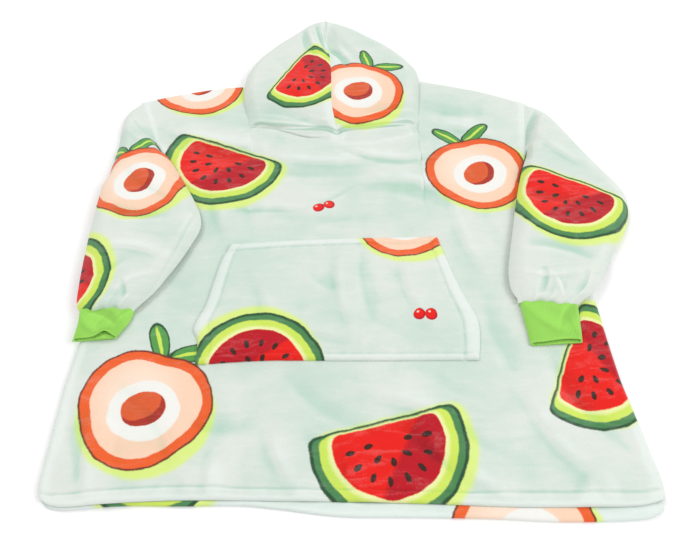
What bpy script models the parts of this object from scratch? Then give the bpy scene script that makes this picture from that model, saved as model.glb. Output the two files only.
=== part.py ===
"""Wearable blanket hoodie of plush with rib cuffs, laid on its back on a flat surface with both sleeves
turned down beside and over the body.

Metres, +Z up, hood towards +Y, left and right as seen from above the hem. Plan places are measured from the
middle of the hem. At the end every piece moves together, so that the middle of the whole is the origin.
"""

import math

import bmesh
import bpy
from mathutils import Vector

# Cloth, in the order in which it lies
PLUSH = 0.006  # two brushed faces back to back
POCKET_PLUSH = 0.005
RIB = 0.0025
SEAM = 0.0004  # space between pieces that are sewn or lie together
AIR = 0.0012  # air kept between two panels
SLOT = 0.0034  # inside of a flattened sleeve, cuff or hood
BACK_TOP = PLUSH
FRONT_TOP = BACK_TOP + SEAM + AIR + PLUSH
ON_BACK = BACK_TOP + SEAM
ON_FRONT = FRONT_TOP + SEAM
EDGE_ROUND = 0.002
SIDE_PULL = 6  # how fast the shape of a panel's side fades out towards its middle

# Where a sleeve or the hood comes down from the cloth under it to the floor
STEP_CLEAR = 0.022
ARMHOLE_CLEAR = 0.046
STEP_RUN = 0.030

# Hem and pocket stitching
HEM_TURN = 0.022
HEM_GROOVE = 0.0012
POCKET_TURN_TOP = 0.017
POCKET_TURN_SIDE = 0.022
POCKET_TURN_FOOT = 0.012

# Columns: x, y, from left to right
FRONT_HEM = (
    (-0.453, 0.001), (-0.430, -0.003), (-0.347, 0.000), (-0.257, 0.000), (-0.168, -0.004), (-0.078, -0.009),
    (0.018, -0.014), (0.144, -0.023), (0.246, -0.030), (0.340, -0.034), (0.420, -0.033), (0.450, -0.028),
)
BACK_HEM = (
    (-0.452, -0.002), (-0.430, -0.006), (-0.347, -0.003), (-0.257, -0.007), (-0.168, -0.010), (-0.108, -0.018),
    (-0.019, -0.032), (0.089, -0.038), (0.196, -0.044), (0.300, -0.053), (0.393, -0.056), (0.432, -0.055),
    (0.446, -0.052),
)

# Left and right side of the body, from hem to shoulder tip. The armhole is cut in under the sleeve.
# Columns: share of the way up, x, y
SIDE_LEFT = (
    (0.010, -0.4645, 0.008), (0.022, -0.4700, 0.018), (0.040, -0.4715, 0.034), (0.220, -0.4650, 0.195),
    (0.320, -0.4540, 0.280), (0.500, -0.4510, 0.440), (0.660, -0.4480, 0.585), (0.760, -0.3275, 0.668),
    (0.860, -0.3830, 0.757), (1.000, -0.4280, 0.881),
)
SIDE_RIGHT = (
    (0.010, 0.4600, -0.023), (0.022, 0.4665, -0.010), (0.040, 0.4690, 0.008), (0.220, 0.4515, 0.164),
    (0.320, 0.4490, 0.239), (0.500, 0.4480, 0.390), (0.640, 0.4470, 0.535), (0.730, 0.3625, 0.609),
    (0.830, 0.3960, 0.698), (1.000, 0.4205, 0.843),
)
STRAIGHT_SIDE = 3  # rows of the two tables where a side starts to run up straight, and where the underarm is
UNDERARM = 6

# Shoulder seams from the tip to the hood. Columns: share of the way, x, y
SHOULDER_LEFT = ((0.0, -0.4280, 0.8810), (0.4, -0.3450, 0.9050), (0.75, -0.2590, 0.9210), (1.0, -0.2050, 0.9255))
SHOULDER_RIGHT = ((0.0, 0.4205, 0.8430), (0.4, 0.3270, 0.8870), (0.75, 0.2430, 0.9150), (1.0, 0.1955, 0.9290))

# Neck seam from the hood's centre to its lower corner. Columns: share of the way, x, y
NECK_LEFT = (
    (0.0, 0.0020, 0.7345), (0.32, -0.0530, 0.7550), (0.68, -0.1200, 0.7820), (0.84, -0.1530, 0.7885),
    (1.0, -0.1850, 0.7910),
)
NECK_RIGHT = (
    (0.0, 0.0020, 0.7345), (0.32, 0.0560, 0.7325), (0.68, 0.1180, 0.7410), (0.84, 0.1480, 0.7490),
    (1.0, 0.1775, 0.7650),
)
RIM_LEFT = (
    (0.0, 0.0020, 0.7530), (0.32, -0.0530, 0.7540), (0.68, -0.1190, 0.7780), (0.84, -0.1520, 0.7890),
    (1.0, -0.1845, 0.7920),
)
RIM_RIGHT = (
    (0.0, 0.0020, 0.7530), (0.32, 0.0560, 0.7590), (0.68, 0.1180, 0.7640), (0.84, 0.1480, 0.7700),
    (1.0, 0.1760, 0.7780),
)

# Hood, one row for each section from the rim to the crown, fanning out from the centre seam.
# Columns: y on the centre seam, left edge x, y, right edge x, y, height of its top
HOOD_ROWS = (
    (0.753, -0.1840, 0.792, 0.1760, 0.778, 0.0290),
    (0.762, -0.1865, 0.802, 0.1785, 0.790, 0.0325),
    (0.777, -0.1890, 0.817, 0.1805, 0.808, 0.0280),
    (0.795, -0.1935, 0.840, 0.1830, 0.834, 0.0335),
    (0.830, -0.1990, 0.873, 0.1865, 0.868, 0.0400),
    (0.868, -0.2015, 0.908, 0.1895, 0.902, 0.0430),
    (0.905, -0.1985, 0.942, 0.1910, 0.936, 0.0430),
    (0.940, -0.1890, 0.980, 0.1865, 0.966, 0.0420),
    (0.972, -0.1730, 1.012, 0.1740, 0.992, 0.0400),
    (1.000, -0.1490, 1.044, 0.1520, 1.024, 0.0380),
    (1.025, -0.1200, 1.076, 0.1230, 1.058, 0.0350),
    (1.045, -0.0850, 1.106, 0.0840, 1.090, 0.0320),
    (1.060, -0.0500, 1.138, 0.0380, 1.122, 0.0290),
    (1.075, -0.0140, 1.153, -0.0140, 1.153, 0.0260),
)
# Columns: y, x of the centre seam of the hood
CENTRE_SEAM = (
    (0.730, 0.002), (0.760, 0.002), (0.830, -0.007), (0.930, -0.006), (1.000, -0.008), (1.060, -0.014), (1.160, -0.014),
)

# Sleeves, one row for each section from armhole to cuff.
# Columns: outer x, y, inner x, y, height of the top, depth of the gathers
SLEEVE_LEFT = (
    (-0.4284, 0.8814, -0.3834, 0.7574, 0.0160, 0.0),
    (-0.4475, 0.8610, -0.3790, 0.7480, 0.0210, 0.0),
    (-0.4590, 0.8330, -0.3720, 0.7350, 0.0260, 0.0),
    (-0.4610, 0.7950, -0.3600, 0.7180, 0.0310, 0.0),
    (-0.4620, 0.7570, -0.3440, 0.6950, 0.0345, 0.0),
    (-0.4660, 0.7150, -0.3260, 0.6640, 0.0370, 0.0),
    (-0.4705, 0.6720, -0.3070, 0.6280, 0.0380, 0.0),
    (-0.4750, 0.6230, -0.2860, 0.5860, 0.0380, 0.0),
    (-0.4775, 0.5740, -0.2690, 0.5440, 0.0380, 0.0),
    (-0.4790, 0.5250, -0.2660, 0.5080, 0.0380, 0.0),
    (-0.4790, 0.4800, -0.2800, 0.4700, 0.0375, 0.0),
    (-0.4785, 0.4400, -0.2980, 0.4310, 0.0370, 0.0004),
    (-0.4770, 0.4050, -0.3160, 0.3990, 0.0370, 0.0010),
    (-0.4745, 0.3740, -0.3330, 0.3700, 0.0355, 0.0018),
    (-0.4690, 0.3520, -0.3510, 0.3480, 0.0320, 0.0022),
    (-0.4600, 0.3375, -0.3660, 0.3345, 0.0270, 0.0012),
)
SLEEVE_RIGHT = (
    (0.4209, 0.8434, 0.3964, 0.6984, 0.0160, 0.0),
    (0.4420, 0.8320, 0.3945, 0.6900, 0.0210, 0.0),
    (0.4610, 0.8130, 0.3905, 0.6790, 0.0260, 0.0),
    (0.4770, 0.7840, 0.3850, 0.6650, 0.0310, 0.0),
    (0.4900, 0.7530, 0.3770, 0.6460, 0.0345, 0.0),
    (0.5050, 0.7170, 0.3670, 0.6190, 0.0370, 0.0),
    (0.5240, 0.6740, 0.3560, 0.5860, 0.0380, 0.0),
    (0.5450, 0.6270, 0.3440, 0.5480, 0.0380, 0.0),
    (0.5645, 0.5830, 0.3345, 0.5130, 0.0385, 0.0),
    (0.5725, 0.5440, 0.3260, 0.4820, 0.0385, 0.0),
    (0.5610, 0.5020, 0.3170, 0.4500, 0.0380, 0.0),
    (0.5405, 0.4640, 0.3090, 0.4200, 0.0375, 0.0004),
    (0.5150, 0.4280, 0.3020, 0.3920, 0.0370, 0.0010),
    (0.4900, 0.3950, 0.2985, 0.3660, 0.0370, 0.0016),
    (0.4710, 0.3660, 0.2990, 0.3460, 0.0355, 0.0022),
    (0.4480, 0.3370, 0.3040, 0.3310, 0.0325, 0.0022),
    (0.4120, 0.3110, 0.3100, 0.3225, 0.0275, 0.0012),
)

# Cuffs, from the sleeve to the open end. Columns as for the sleeves.
CUFF_LEFT = (
    (-0.4600, 0.3370, -0.3660, 0.3340, 0.0255, 0.0),
    (-0.4590, 0.3300, -0.3670, 0.3275, 0.0262, 0.0),
    (-0.4605, 0.3120, -0.3720, 0.3100, 0.0265, 0.0),
    (-0.4625, 0.2930, -0.3820, 0.2930, 0.0260, 0.0),
    (-0.4640, 0.2775, -0.3905, 0.2800, 0.0260, 0.0),
)
CUFF_RIGHT = (
    (0.4120, 0.3105, 0.3100, 0.3220, 0.0260, 0.0),
    (0.4110, 0.3030, 0.3105, 0.3140, 0.0268, 0.0),
    (0.4085, 0.2820, 0.3115, 0.2900, 0.0270, 0.0),
    (0.4060, 0.2600, 0.3125, 0.2630, 0.0265, 0.0),
    (0.4030, 0.2390, 0.3135, 0.2370, 0.0265, 0.0),
)
GATHER_WAVES = 5

# Folded edges of the tubes and the hood
SLEEVE_ROUND = 0.024
CUFF_ROUND = 0.008
HOOD_ROUND = 0.030
EDGE_LIFT = 1.2  # height of a tube's folded edge over what it lies on, in walls
EDGE_LIFT_MOST = 0.45  # the same, at most, as a share of the tube's height
HOOD_EDGE_LIFT = 0.40  # height of the hood's outline, as a share of its height
WALL_INSET = 1.7  # how far the slot ends from a folded edge, in walls
CROWN = 0.18  # how much lower a tube or the hood is beside its folds than in its middle
EDGE_STEPS = 0.12  # how much closer the points of a tube are at its folds

# Pocket. Columns: share of the way, x, y
POCKET_TOP = ((0.0, -0.2060, 0.4745), (0.25, -0.1090, 0.4780), (0.6, 0.0250, 0.4790), (1.0, 0.1820, 0.4755))
POCKET_FOOT = ((0.0, -0.2530, 0.2225), (0.25, -0.1440, 0.2260), (0.6, 0.0230, 0.2190), (1.0, 0.2230, 0.2120))
POCKET_LEFT = (
    (0.0, -0.2530, 0.2225), (0.18, -0.2520, 0.2680), (0.28, -0.2610, 0.2940), (0.46, -0.2440, 0.3390),
    (0.64, -0.2350, 0.3810), (0.88, -0.2210, 0.4410), (1.0, -0.2060, 0.4745),
)
POCKET_RIGHT = (
    (0.0, 0.2230, 0.2120), (0.18, 0.2315, 0.2580), (0.31, 0.2320, 0.2920), (0.54, 0.2120, 0.3520),
    (0.74, 0.1980, 0.4070), (1.0, 0.1820, 0.4755),
)

# Folds, as soft ridges or troughs. Columns: start x, y, end x, y, half width, rise
FRONT_FOLDS = (
    (-0.360, 0.760, -0.215, 0.705, 0.045, -0.0011),
    (-0.330, 0.800, -0.180, 0.740, 0.040, 0.0030),
    (-0.130, 0.720, 0.060, 0.700, 0.045, 0.0028),
    (0.080, 0.700, 0.175, 0.610, 0.040, 0.0032),
    (0.235, 0.790, 0.350, 0.730, 0.045, 0.0028),
    (-0.180, 0.600, 0.060, 0.560, 0.050, 0.0020),
    (0.250, 0.560, 0.275, 0.420, 0.042, 0.0026),
    (-0.225, 0.600, -0.205, 0.520, 0.040, 0.0024),
    (0.045, 0.165, 0.150, 0.120, 0.045, 0.0036),
    (0.130, 0.080, 0.215, 0.010, 0.045, 0.0040),
    (0.300, 0.150, 0.375, 0.020, 0.050, 0.0034),
    (-0.330, 0.190, -0.250, 0.060, 0.048, 0.0030),
    (-0.120, 0.100, -0.080, 0.010, 0.045, 0.0032),
    (-0.400, 0.110, -0.385, 0.010, 0.040, 0.0030),
    (0.010, 0.060, 0.020, -0.014, 0.040, 0.0034),
    (0.370, -0.010, 0.340, -0.034, 0.050, 0.0030),
    (-0.200, 0.060, -0.205, 0.000, 0.040, 0.0034),
)
POCKET_FOLDS = (
    (0.010, 0.430, 0.020, 0.320, 0.040, 0.0026),
    (-0.150, 0.400, -0.120, 0.280, 0.045, 0.0020),
    (0.120, 0.420, 0.150, 0.300, 0.040, 0.0022),
)
SLEEVE_FOLDS = (
    (-0.430, 0.700, -0.330, 0.600, 0.040, 0.0035),
    (-0.450, 0.560, -0.350, 0.520, 0.036, -0.0030),
    (-0.440, 0.470, -0.340, 0.440, 0.034, 0.0030),
    (0.420, 0.740, 0.500, 0.640, 0.040, 0.0035),
    (0.370, 0.560, 0.480, 0.540, 0.036, -0.0030),
    (0.540, 0.530, 0.440, 0.480, 0.034, 0.0035),
    (0.350, 0.430, 0.440, 0.410, 0.034, -0.0028),
)
HOOD_FOLDS = (
    (-0.014, 1.150, -0.008, 0.990, 0.016, -0.0050),
    (0.004, 1.130, 0.050, 0.970, 0.022, 0.0040),
    (-0.034, 1.120, -0.040, 1.000, 0.020, 0.0040),
    (-0.150, 0.850, -0.060, 0.900, 0.045, 0.0035),
    (0.150, 0.850, 0.060, 0.950, 0.045, 0.0030),
    (-0.006, 0.960, -0.002, 0.770, 0.014, -0.0028),
)

# How finely the pieces are divided
BODY_LENGTH = 0.93
HEM_STOPS = (0.0, 0.35, 0.75, 1.0, 1.25)  # shares of the hem's turn, the stitching at 1
FRONT_ROWS = 27
BACK_STOPS = (0.0, 0.010, 0.022, 0.040)  # shares of the way up, round the back's corners
BACK_ROWS = 14
BACK_COLUMNS = 20
SHOULDER_STOPS = (0.0, 0.13, 0.27, 0.41, 0.55, 0.69, 0.84, 1.0)  # shares of a shoulder seam
SHOULDER_SHARE = 0.25  # share of the back's top edge that is one shoulder
HOOD_STOPS = (0.0, 0.15, 0.32, 0.50, 0.68, 0.84, 0.95, 1.0)  # shares from the hood's centre seam to its outline
NECK_ROWS = (3, 4, 5)  # rows of the hood beside which the front panel ends
TUBE_STEPS = 18
CUFF_STEPS = 12
POCKET_MIDDLE = (9, 7)  # columns and rows inside the pocket's stitching

# Base colour and roughness
FINISHES = {
    "plush": ((0.655, 0.809, 0.731), 0.85),
    "plush_inside": ((0.700, 0.820, 0.760), 0.90),
    "rib_knit": ((0.223, 0.610, 0.082), 0.75),
}


def smooth(amount):
    amount = min(max(amount, 0.0), 1.0)
    return amount * amount * (3.0 - 2.0 * amount)


def read(table, key):
    """The table's other columns at this key, on straight lines between its rows."""
    for before, after in zip(table, table[1:]):
        if key <= after[0]:
            break
    share = (key - before[0]) / (after[0] - before[0])
    share = min(max(share, 0.0), 1.0)
    return [a + (b - a) * share for a, b in zip(before[1:], after[1:])]


def read_round(table, key):
    """The table's other columns at this key, on a smooth curve through its rows."""
    last = len(table) - 1
    at = 0
    while at < last - 1 and key > table[at + 1][0]:
        at += 1
    start, end = table[at], table[at + 1]
    before, after = table[max(at - 1, 0)], table[min(at + 2, last)]
    run = end[0] - start[0]
    share = min(max((key - start[0]) / run, 0.0), 1.0)
    values = []
    for column in range(1, len(start)):
        slope_in = (end[column] - before[column]) / (end[0] - before[0]) * run
        slope_out = (after[column] - start[column]) / (after[0] - start[0]) * run
        square, cube = share ** 2, share ** 3
        values.append(
            (2 * cube - 3 * square + 1) * start[column]
            + (cube - 2 * square + share) * slope_in
            + (3 * square - 2 * cube) * end[column]
            + (cube - square) * slope_out
        )
    return values


def fold_height(folds, x, y):
    """Height that the folds add here: full along each fold's line, nothing past its half width."""
    height = 0.0
    for x0, y0, x1, y1, half_width, rise in folds:
        along = Vector((x1 - x0, y1 - y0))
        to_point = Vector((x - x0, y - y0))
        share = min(max(to_point.dot(along) / along.length_squared, 0.0), 1.0)
        away = (to_point - along * share).length / half_width
        if away < 1.0:
            height += rise * (1.0 - away ** 2) ** 2
    return height


# Panels


def new_object(name, mesh, finish):
    colour, roughness = FINISHES[finish]
    material = bpy.data.materials.new(name)
    material.use_nodes = True
    shader = material.node_tree.nodes["Principled BSDF"]
    shader.inputs["Base Color"].default_value = (*colour, 1.0)
    shader.inputs["Roughness"].default_value = roughness
    shader.inputs["Metallic"].default_value = 0.0
    material.diffuse_color = (*colour, 1.0)
    obj = bpy.data.objects.new(name, mesh)
    obj.data.materials.append(material)
    PIECES.objects.link(obj)
    mesh.shade_smooth()
    mesh.set_sharp_from_angle(angle=math.radians(50))
    return obj


def sheet(name, columns, rows, place, thickness, finish):
    """A grid whose point (column, row) lies where place puts it, thickened downwards, with rounded edges."""
    bpy.ops.mesh.primitive_grid_add(x_subdivisions=columns, y_subdivisions=rows, size=2)
    start = bpy.context.object
    mesh = start.data
    mesh.name = name
    bpy.data.objects.remove(start)
    for vertex in mesh.vertices:
        column = round((vertex.co.x + 1) / 2 * columns)
        row = round((vertex.co.y + 1) / 2 * rows)
        vertex.co = place(column, row)
    obj = new_object(name, mesh, finish)
    wall = obj.modifiers.new("Cloth", "SOLIDIFY")
    wall.thickness = thickness
    wall.offset = -1.0
    edge = obj.modifiers.new("Rounded edge", "BEVEL")
    edge.width = EDGE_ROUND
    edge.segments = 2
    edge.limit_method = "ANGLE"
    edge.angle_limit = math.radians(60)
    return obj


def patch(foot, top, left, right, across, up):
    """Point in the plan of a panel whose four edges are given, at these shares of its width and height."""
    point = foot(across).lerp(top(across), up)
    for edge, end, away in ((left, 0, across), (right, 1, 1 - across)):
        point += (edge(up) - foot(end).lerp(top(end), up)) * (1 - away) ** SIDE_PULL
    return point


def centre_x(y):
    return read(CENTRE_SEAM, y)[0]


def hood_edge(side, row):
    """Plan point of the hood's outline at this row of its table."""
    column = 1 if side < 0 else 3
    return Vector(HOOD_ROWS[row][column:column + 2])


def neckline():
    """Plan points of the front's neckline, left to right: down the hood's left side, across and up its right."""
    points = []
    for side, neck in ((-1, NECK_LEFT), (1, NECK_RIGHT)):
        half = [Vector(read(neck, share)) - Vector((0, 2 * SEAM)) for share in HOOD_STOPS]
        rise = [hood_edge(side, row) + Vector((side * SEAM, 0)) for row in NECK_ROWS]
        half[-1].x += side * SEAM
        half += rise
        points += list(reversed(half)) if side < 0 else half[1:]
    return points


def body_patch(hem, top, across, up):
    def foot(share):
        x = hem[0][0] + (hem[-1][0] - hem[0][0]) * share
        return Vector((x, read_round(hem, x)[0]))

    def side(table):
        def edge(share):
            start = Vector(hem[0] if table is SIDE_LEFT else hem[-1])
            rows = ((0.0, *start),) + table
            return Vector(read(rows, share))
        return edge

    return patch(foot, top, side(SIDE_LEFT), side(SIDE_RIGHT), across, up)


def spread(stops, count):
    """The stops and, evenly after them up to 1, enough more for this many steps."""
    more = count + 1 - len(stops)
    return list(stops) + [stops[-1] + (1 - stops[-1]) * (step + 1) / more for step in range(more)]


def make_back():
    def top(share):
        if share < SHOULDER_SHARE:
            return Vector(read_round(SHOULDER_LEFT, share / SHOULDER_SHARE))
        if share > 1 - SHOULDER_SHARE:
            return Vector(read_round(SHOULDER_RIGHT, (1 - share) / SHOULDER_SHARE))
        left, right = Vector(SHOULDER_LEFT[-1][1:]), Vector(SHOULDER_RIGHT[-1][1:])
        return left.lerp(right, (share - SHOULDER_SHARE) / (1 - 2 * SHOULDER_SHARE))

    ups = spread(BACK_STOPS, BACK_ROWS)

    def place(column, row):
        plan = body_patch(BACK_HEM, top, column / BACK_COLUMNS, ups[row])
        return (plan.x, plan.y, BACK_TOP)

    return sheet("back_panel", BACK_COLUMNS, BACK_ROWS, place, PLUSH, "plush_inside")


def make_front():
    shoulder_left = [Vector(read_round(SHOULDER_LEFT, stop)) for stop in SHOULDER_STOPS]
    shoulder_right = [Vector(read_round(SHOULDER_RIGHT, stop)) for stop in reversed(SHOULDER_STOPS)]
    upper_edge = shoulder_left + neckline() + shoulder_right
    columns = len(upper_edge) - 1

    def top(share):
        return upper_edge[round(share * columns)]

    ups = spread([stop * HEM_TURN / BODY_LENGTH for stop in HEM_STOPS], FRONT_ROWS)
    stitched = HEM_STOPS.index(1.0)

    def place(column, row):
        plan = body_patch(FRONT_HEM, top, column / columns, ups[row])
        height = FRONT_TOP + fold_height(FRONT_FOLDS, *plan)
        if row == stitched:
            height -= HEM_GROOVE
        return (plan.x, plan.y, height)

    return sheet("front_panel", columns, FRONT_ROWS, place, PLUSH, "plush")


def make_pocket():
    width = POCKET_FOOT[-1][1] - POCKET_FOOT[0][1]
    height = POCKET_TOP[0][2] - POCKET_FOOT[0][2]
    side, foot, head = POCKET_TURN_SIDE / width, POCKET_TURN_FOOT / height, POCKET_TURN_TOP / height
    columns = stitched_stops(side, side, POCKET_MIDDLE[0])
    rows = stitched_stops(foot, head, POCKET_MIDDLE[1])

    def edge(table, reader):
        return lambda share: Vector(reader(table, share))

    def place(column, row):
        plan = patch(
            edge(POCKET_FOOT, read_round), edge(POCKET_TOP, read_round),
            edge(POCKET_LEFT, read), edge(POCKET_RIGHT, read), columns[column], rows[row],
        )
        lift = SEAM + AIR + POCKET_PLUSH + fold_height(POCKET_FOLDS, *plan)
        on_stitching = columns[column] in (side, 1 - side) or rows[row] in (foot, 1 - head)
        if on_stitching:
            lift -= HEM_GROOVE
        return (plan.x, plan.y, FRONT_TOP + fold_height(FRONT_FOLDS, *plan) + lift)

    return sheet("pocket", len(columns) - 1, len(rows) - 1, place, POCKET_PLUSH, "plush")


def stitched_stops(near, far, middle):
    """Shares across a piece with a stitched turning at both sides: three at each turning, and the middle between."""
    inner = [near * 1.5 + (1 - far * 1.5 - near * 1.5) * step / middle for step in range(middle + 1)]
    return [0.0, near * 0.5, near, *inner, 1 - far, 1 - far * 0.5, 1.0]


# Sleeves, cuffs and hood


def wall_loft(name, outer, inner, closed, finish):
    """A wall between two skins. Each skin is a list of sections with as many points, each section a path.

    A closed path runs round a tube. An open one ends at a seam, where the two skins are joined.
    """
    sections, points = len(outer), len(outer[0])
    vertices = [point for section in outer + inner for point in section]

    def outside(section, point):
        return section * points + point % points

    def inside(section, point):
        return (sections + section) * points + point % points

    steps = points if closed else points - 1
    faces = []
    for section in range(sections - 1):
        for point in range(steps):
            faces.append([
                outside(section, point), outside(section, point + 1),
                outside(section + 1, point + 1), outside(section + 1, point),
            ])
            faces.append([
                inside(section + 1, point), inside(section + 1, point + 1),
                inside(section, point + 1), inside(section, point),
            ])
        if not closed:
            for point in (0, points - 1):
                end = [
                    outside(section, point), outside(section + 1, point),
                    inside(section + 1, point), inside(section, point),
                ]
                faces.append(end if point == 0 else end[::-1])
    for point in range(steps):
        first = [outside(0, point + 1), outside(0, point), inside(0, point), inside(0, point + 1)]
        last = [
            outside(sections - 1, point), outside(sections - 1, point + 1),
            inside(sections - 1, point + 1), inside(sections - 1, point),
        ]
        faces += [first, last]
    mesh = bpy.data.meshes.new(name)
    mesh.from_pydata(vertices, [], faces)
    shaped = bmesh.new()
    shaped.from_mesh(mesh)
    bmesh.ops.recalc_face_normals(shaped, faces=shaped.faces)
    shaped.to_mesh(mesh)
    shaped.free()
    return new_object(name, mesh, finish)


def fold_round(away, radius):
    """Quarter of an ellipse: 0 at a fold's edge, 1 from radius inwards."""
    return math.sqrt(max(1.0 - (1.0 - min(away / radius, 1.0)) ** 2, 0.0))


def sleeve_rest(side, plan):
    """Height of what lies under a sleeve here: the front panel, or the floor beyond the panel's edge."""
    table = SIDE_LEFT if side < 0 else SIDE_RIGHT
    underarm, notch = Vector(table[UNDERARM][1:]), Vector(table[UNDERARM + 1][1:])
    line = (notch - underarm).normalized()
    beyond_armhole = (plan - underarm).dot(Vector((-line.y, line.x))) * -side
    side_x = max(abs(row[1]) for row in table[STRAIGHT_SIDE:UNDERARM + 1])
    beyond_side = side * plan.x - side_x
    off = max(beyond_armhole - ARMHOLE_CLEAR, beyond_side - STEP_CLEAR)
    return ON_FRONT * (1.0 - smooth(off / STEP_RUN))


def hood_rest(plan):
    """Height of what lies under the hood here: the back panel, or the floor beyond its neck edge."""
    off = plan.y - SHOULDER_RIGHT[-1][2] - STEP_CLEAR
    return ON_BACK * (1.0 - smooth(off / STEP_RUN))


def slot_between(low, top, wall):
    """Heights of the slot in a folded wall, the upper layer wall thick, both thinner where there is less room."""
    scale = min(1.0, (top - low) / (2 * wall + SLOT))
    under_upper = top - wall * scale
    return under_upper - SLOT * scale, under_upper


def tube_share(share):
    """Shares across a tube, closer together near its two folds."""
    return share - EDGE_STEPS * math.sin(2 * math.pi * share)


def tube(name, side, table, wall, edge_round, steps, folds, finish):
    """A flattened tube through the table's sections."""
    outer, inner = [], []
    for outer_x, outer_y, inner_x, inner_y, top_height, gather in table:
        start, end = Vector((inner_x, inner_y)), Vector((outer_x, outer_y))
        width = (end - start).length

        def skins(share):
            plan = start.lerp(end, share)
            rest = sleeve_rest(side, plan)
            full = fold_round(min(share, 1 - share) * width, edge_round)
            mid = rest + min(EDGE_LIFT * wall, EDGE_LIFT_MOST * (top_height - rest))
            crown = 1.0 - CROWN * (1.0 - math.sin(math.pi * share))
            top = mid + (top_height - mid) * full * crown
            top += (gather * math.cos(2 * math.pi * GATHER_WAVES * share) + fold_height(folds, *plan)) * full ** 2
            return plan, mid + (rest - mid) * full, top

        inset = WALL_INSET * wall / width
        upper, lower, slot_upper, slot_lower = [], [], [], []
        for step in range(steps + 1):
            share = tube_share(step / steps)
            plan, low, top = skins(share)
            upper.append((*plan, top))
            lower.append((*plan, low))
            plan, low, top = skins(inset + (1 - 2 * inset) * share)
            slot_low, slot_high = slot_between(low, top, wall)
            if step in (0, steps):
                slot_low = slot_high = (slot_low + slot_high) / 2
            slot_upper.append((*plan, slot_high))
            slot_lower.append((*plan, slot_low))
        outer.append(upper + lower[-2:0:-1])
        inner.append(slot_upper + slot_lower[-2:0:-1])
    return wall_loft(name, outer, inner, True, finish)


def make_hood(name, side):
    neck, rim = (NECK_LEFT, RIM_LEFT) if side < 0 else (NECK_RIGHT, RIM_RIGHT)
    outer, inner = [], []
    for row, section in enumerate(HOOD_ROWS):
        centre_y, top_height = section[0], section[5]
        centre, edge = Vector((centre_x(centre_y), centre_y)), hood_edge(side, row)
        width = (edge - centre).length

        def skins(share):
            plan_low = plan_high = centre.lerp(edge, share)
            if row == 0:
                plan_low, plan_high = Vector(read(neck, share)), Vector(read(rim, share))
            full = (1 - share) * width
            rest = hood_rest(plan_low)
            mid = rest + HOOD_EDGE_LIFT * (top_height - rest)
            crown = 1.0 - CROWN * (1.0 - math.cos(share * math.pi / 2))
            top = mid + (top_height - mid) * fold_round(full, HOOD_ROUND) * crown
            top += fold_height(HOOD_FOLDS, *plan_high) * fold_round(full, 2 * HOOD_ROUND)
            low = mid + (rest - mid) * fold_round(full, HOOD_ROUND / 2)
            on_seam = share == 0.0 or row == len(HOOD_ROWS) - 1
            off_seam = Vector((side * SEAM if on_seam else 0.0, 0.0))
            return plan_low + off_seam, plan_high + off_seam, low, top

        lower, upper, slot_lower, slot_upper = [], [], [], []
        for share in HOOD_STOPS:
            plan_low, plan_high, low, top = skins(share)
            lower.append((*plan_low, low))
            upper.append((*plan_high, top))
            inset = WALL_INSET * PLUSH / width * smooth(2 * share - 1)
            plan_low, plan_high, low, top = skins(share - inset)
            slot_low, slot_high = slot_between(low, top, PLUSH)
            if row == 0:
                slot_low = min(slot_low, FRONT_TOP)
            if share == 1.0:
                slot_low = slot_high = (slot_low + slot_high) / 2
                plan_high = plan_low = (plan_low + plan_high) / 2
            slot_lower.append((*plan_low, slot_low))
            slot_upper.append((*plan_high, slot_high))
        lower[-1] = upper[-1] = tuple((Vector(lower[-1]) + Vector(upper[-1])) / 2)
        outer.append(lower + upper[-2::-1])
        inner.append(slot_lower + slot_upper[-2::-1])
    return wall_loft(name, outer, inner, False, "plush")


def centre_on_origin():
    """Moves every piece by the same amount, so that the middle of the whole is over the origin."""
    bpy.context.view_layer.update()
    graph = bpy.context.evaluated_depsgraph_get()
    corners = [Vector(corner) for obj in PIECES.objects for corner in obj.evaluated_get(graph).bound_box]
    low = Vector([min(corner[axis] for corner in corners) for axis in range(3)])
    high = Vector([max(corner[axis] for corner in corners) for axis in range(3)])
    middle = (low + high) / 2
    for obj in PIECES.objects:
        obj.location = (-middle.x, -middle.y, -low.z)


for old in list(bpy.data.objects):
    bpy.data.objects.remove(old)
PIECES = bpy.data.collections.new("Wearable blanket hoodie")
bpy.context.scene.collection.children.link(PIECES)

make_back()
make_front()
make_pocket()
tube("sleeve_left", -1, SLEEVE_LEFT, PLUSH, SLEEVE_ROUND, TUBE_STEPS, SLEEVE_FOLDS, "plush")
tube("sleeve_right", 1, SLEEVE_RIGHT, PLUSH, SLEEVE_ROUND, TUBE_STEPS, SLEEVE_FOLDS, "plush")
tube("cuff_left", -1, CUFF_LEFT, RIB, CUFF_ROUND, CUFF_STEPS, (), "rib_knit")
tube("cuff_right", 1, CUFF_RIGHT, RIB, CUFF_ROUND, CUFF_STEPS, (), "rib_knit")
make_hood("hood_left", -1)
make_hood("hood_right", 1)
centre_on_origin()
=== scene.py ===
"""A printed plush blanket hoodie, laid flat on its back: the looks of its pieces, and a plain studio.

Lengths are metres. Places in the plan are measured from the middle of the hem, x to the right and y towards
the hood; HEM_MIDDLE moves them to where the garment lies.
"""

import math

import bmesh
import bpy
import numpy as np
from bpy.props import FloatProperty, FloatVectorProperty, PointerProperty
from mathutils import Matrix, Vector


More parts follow.
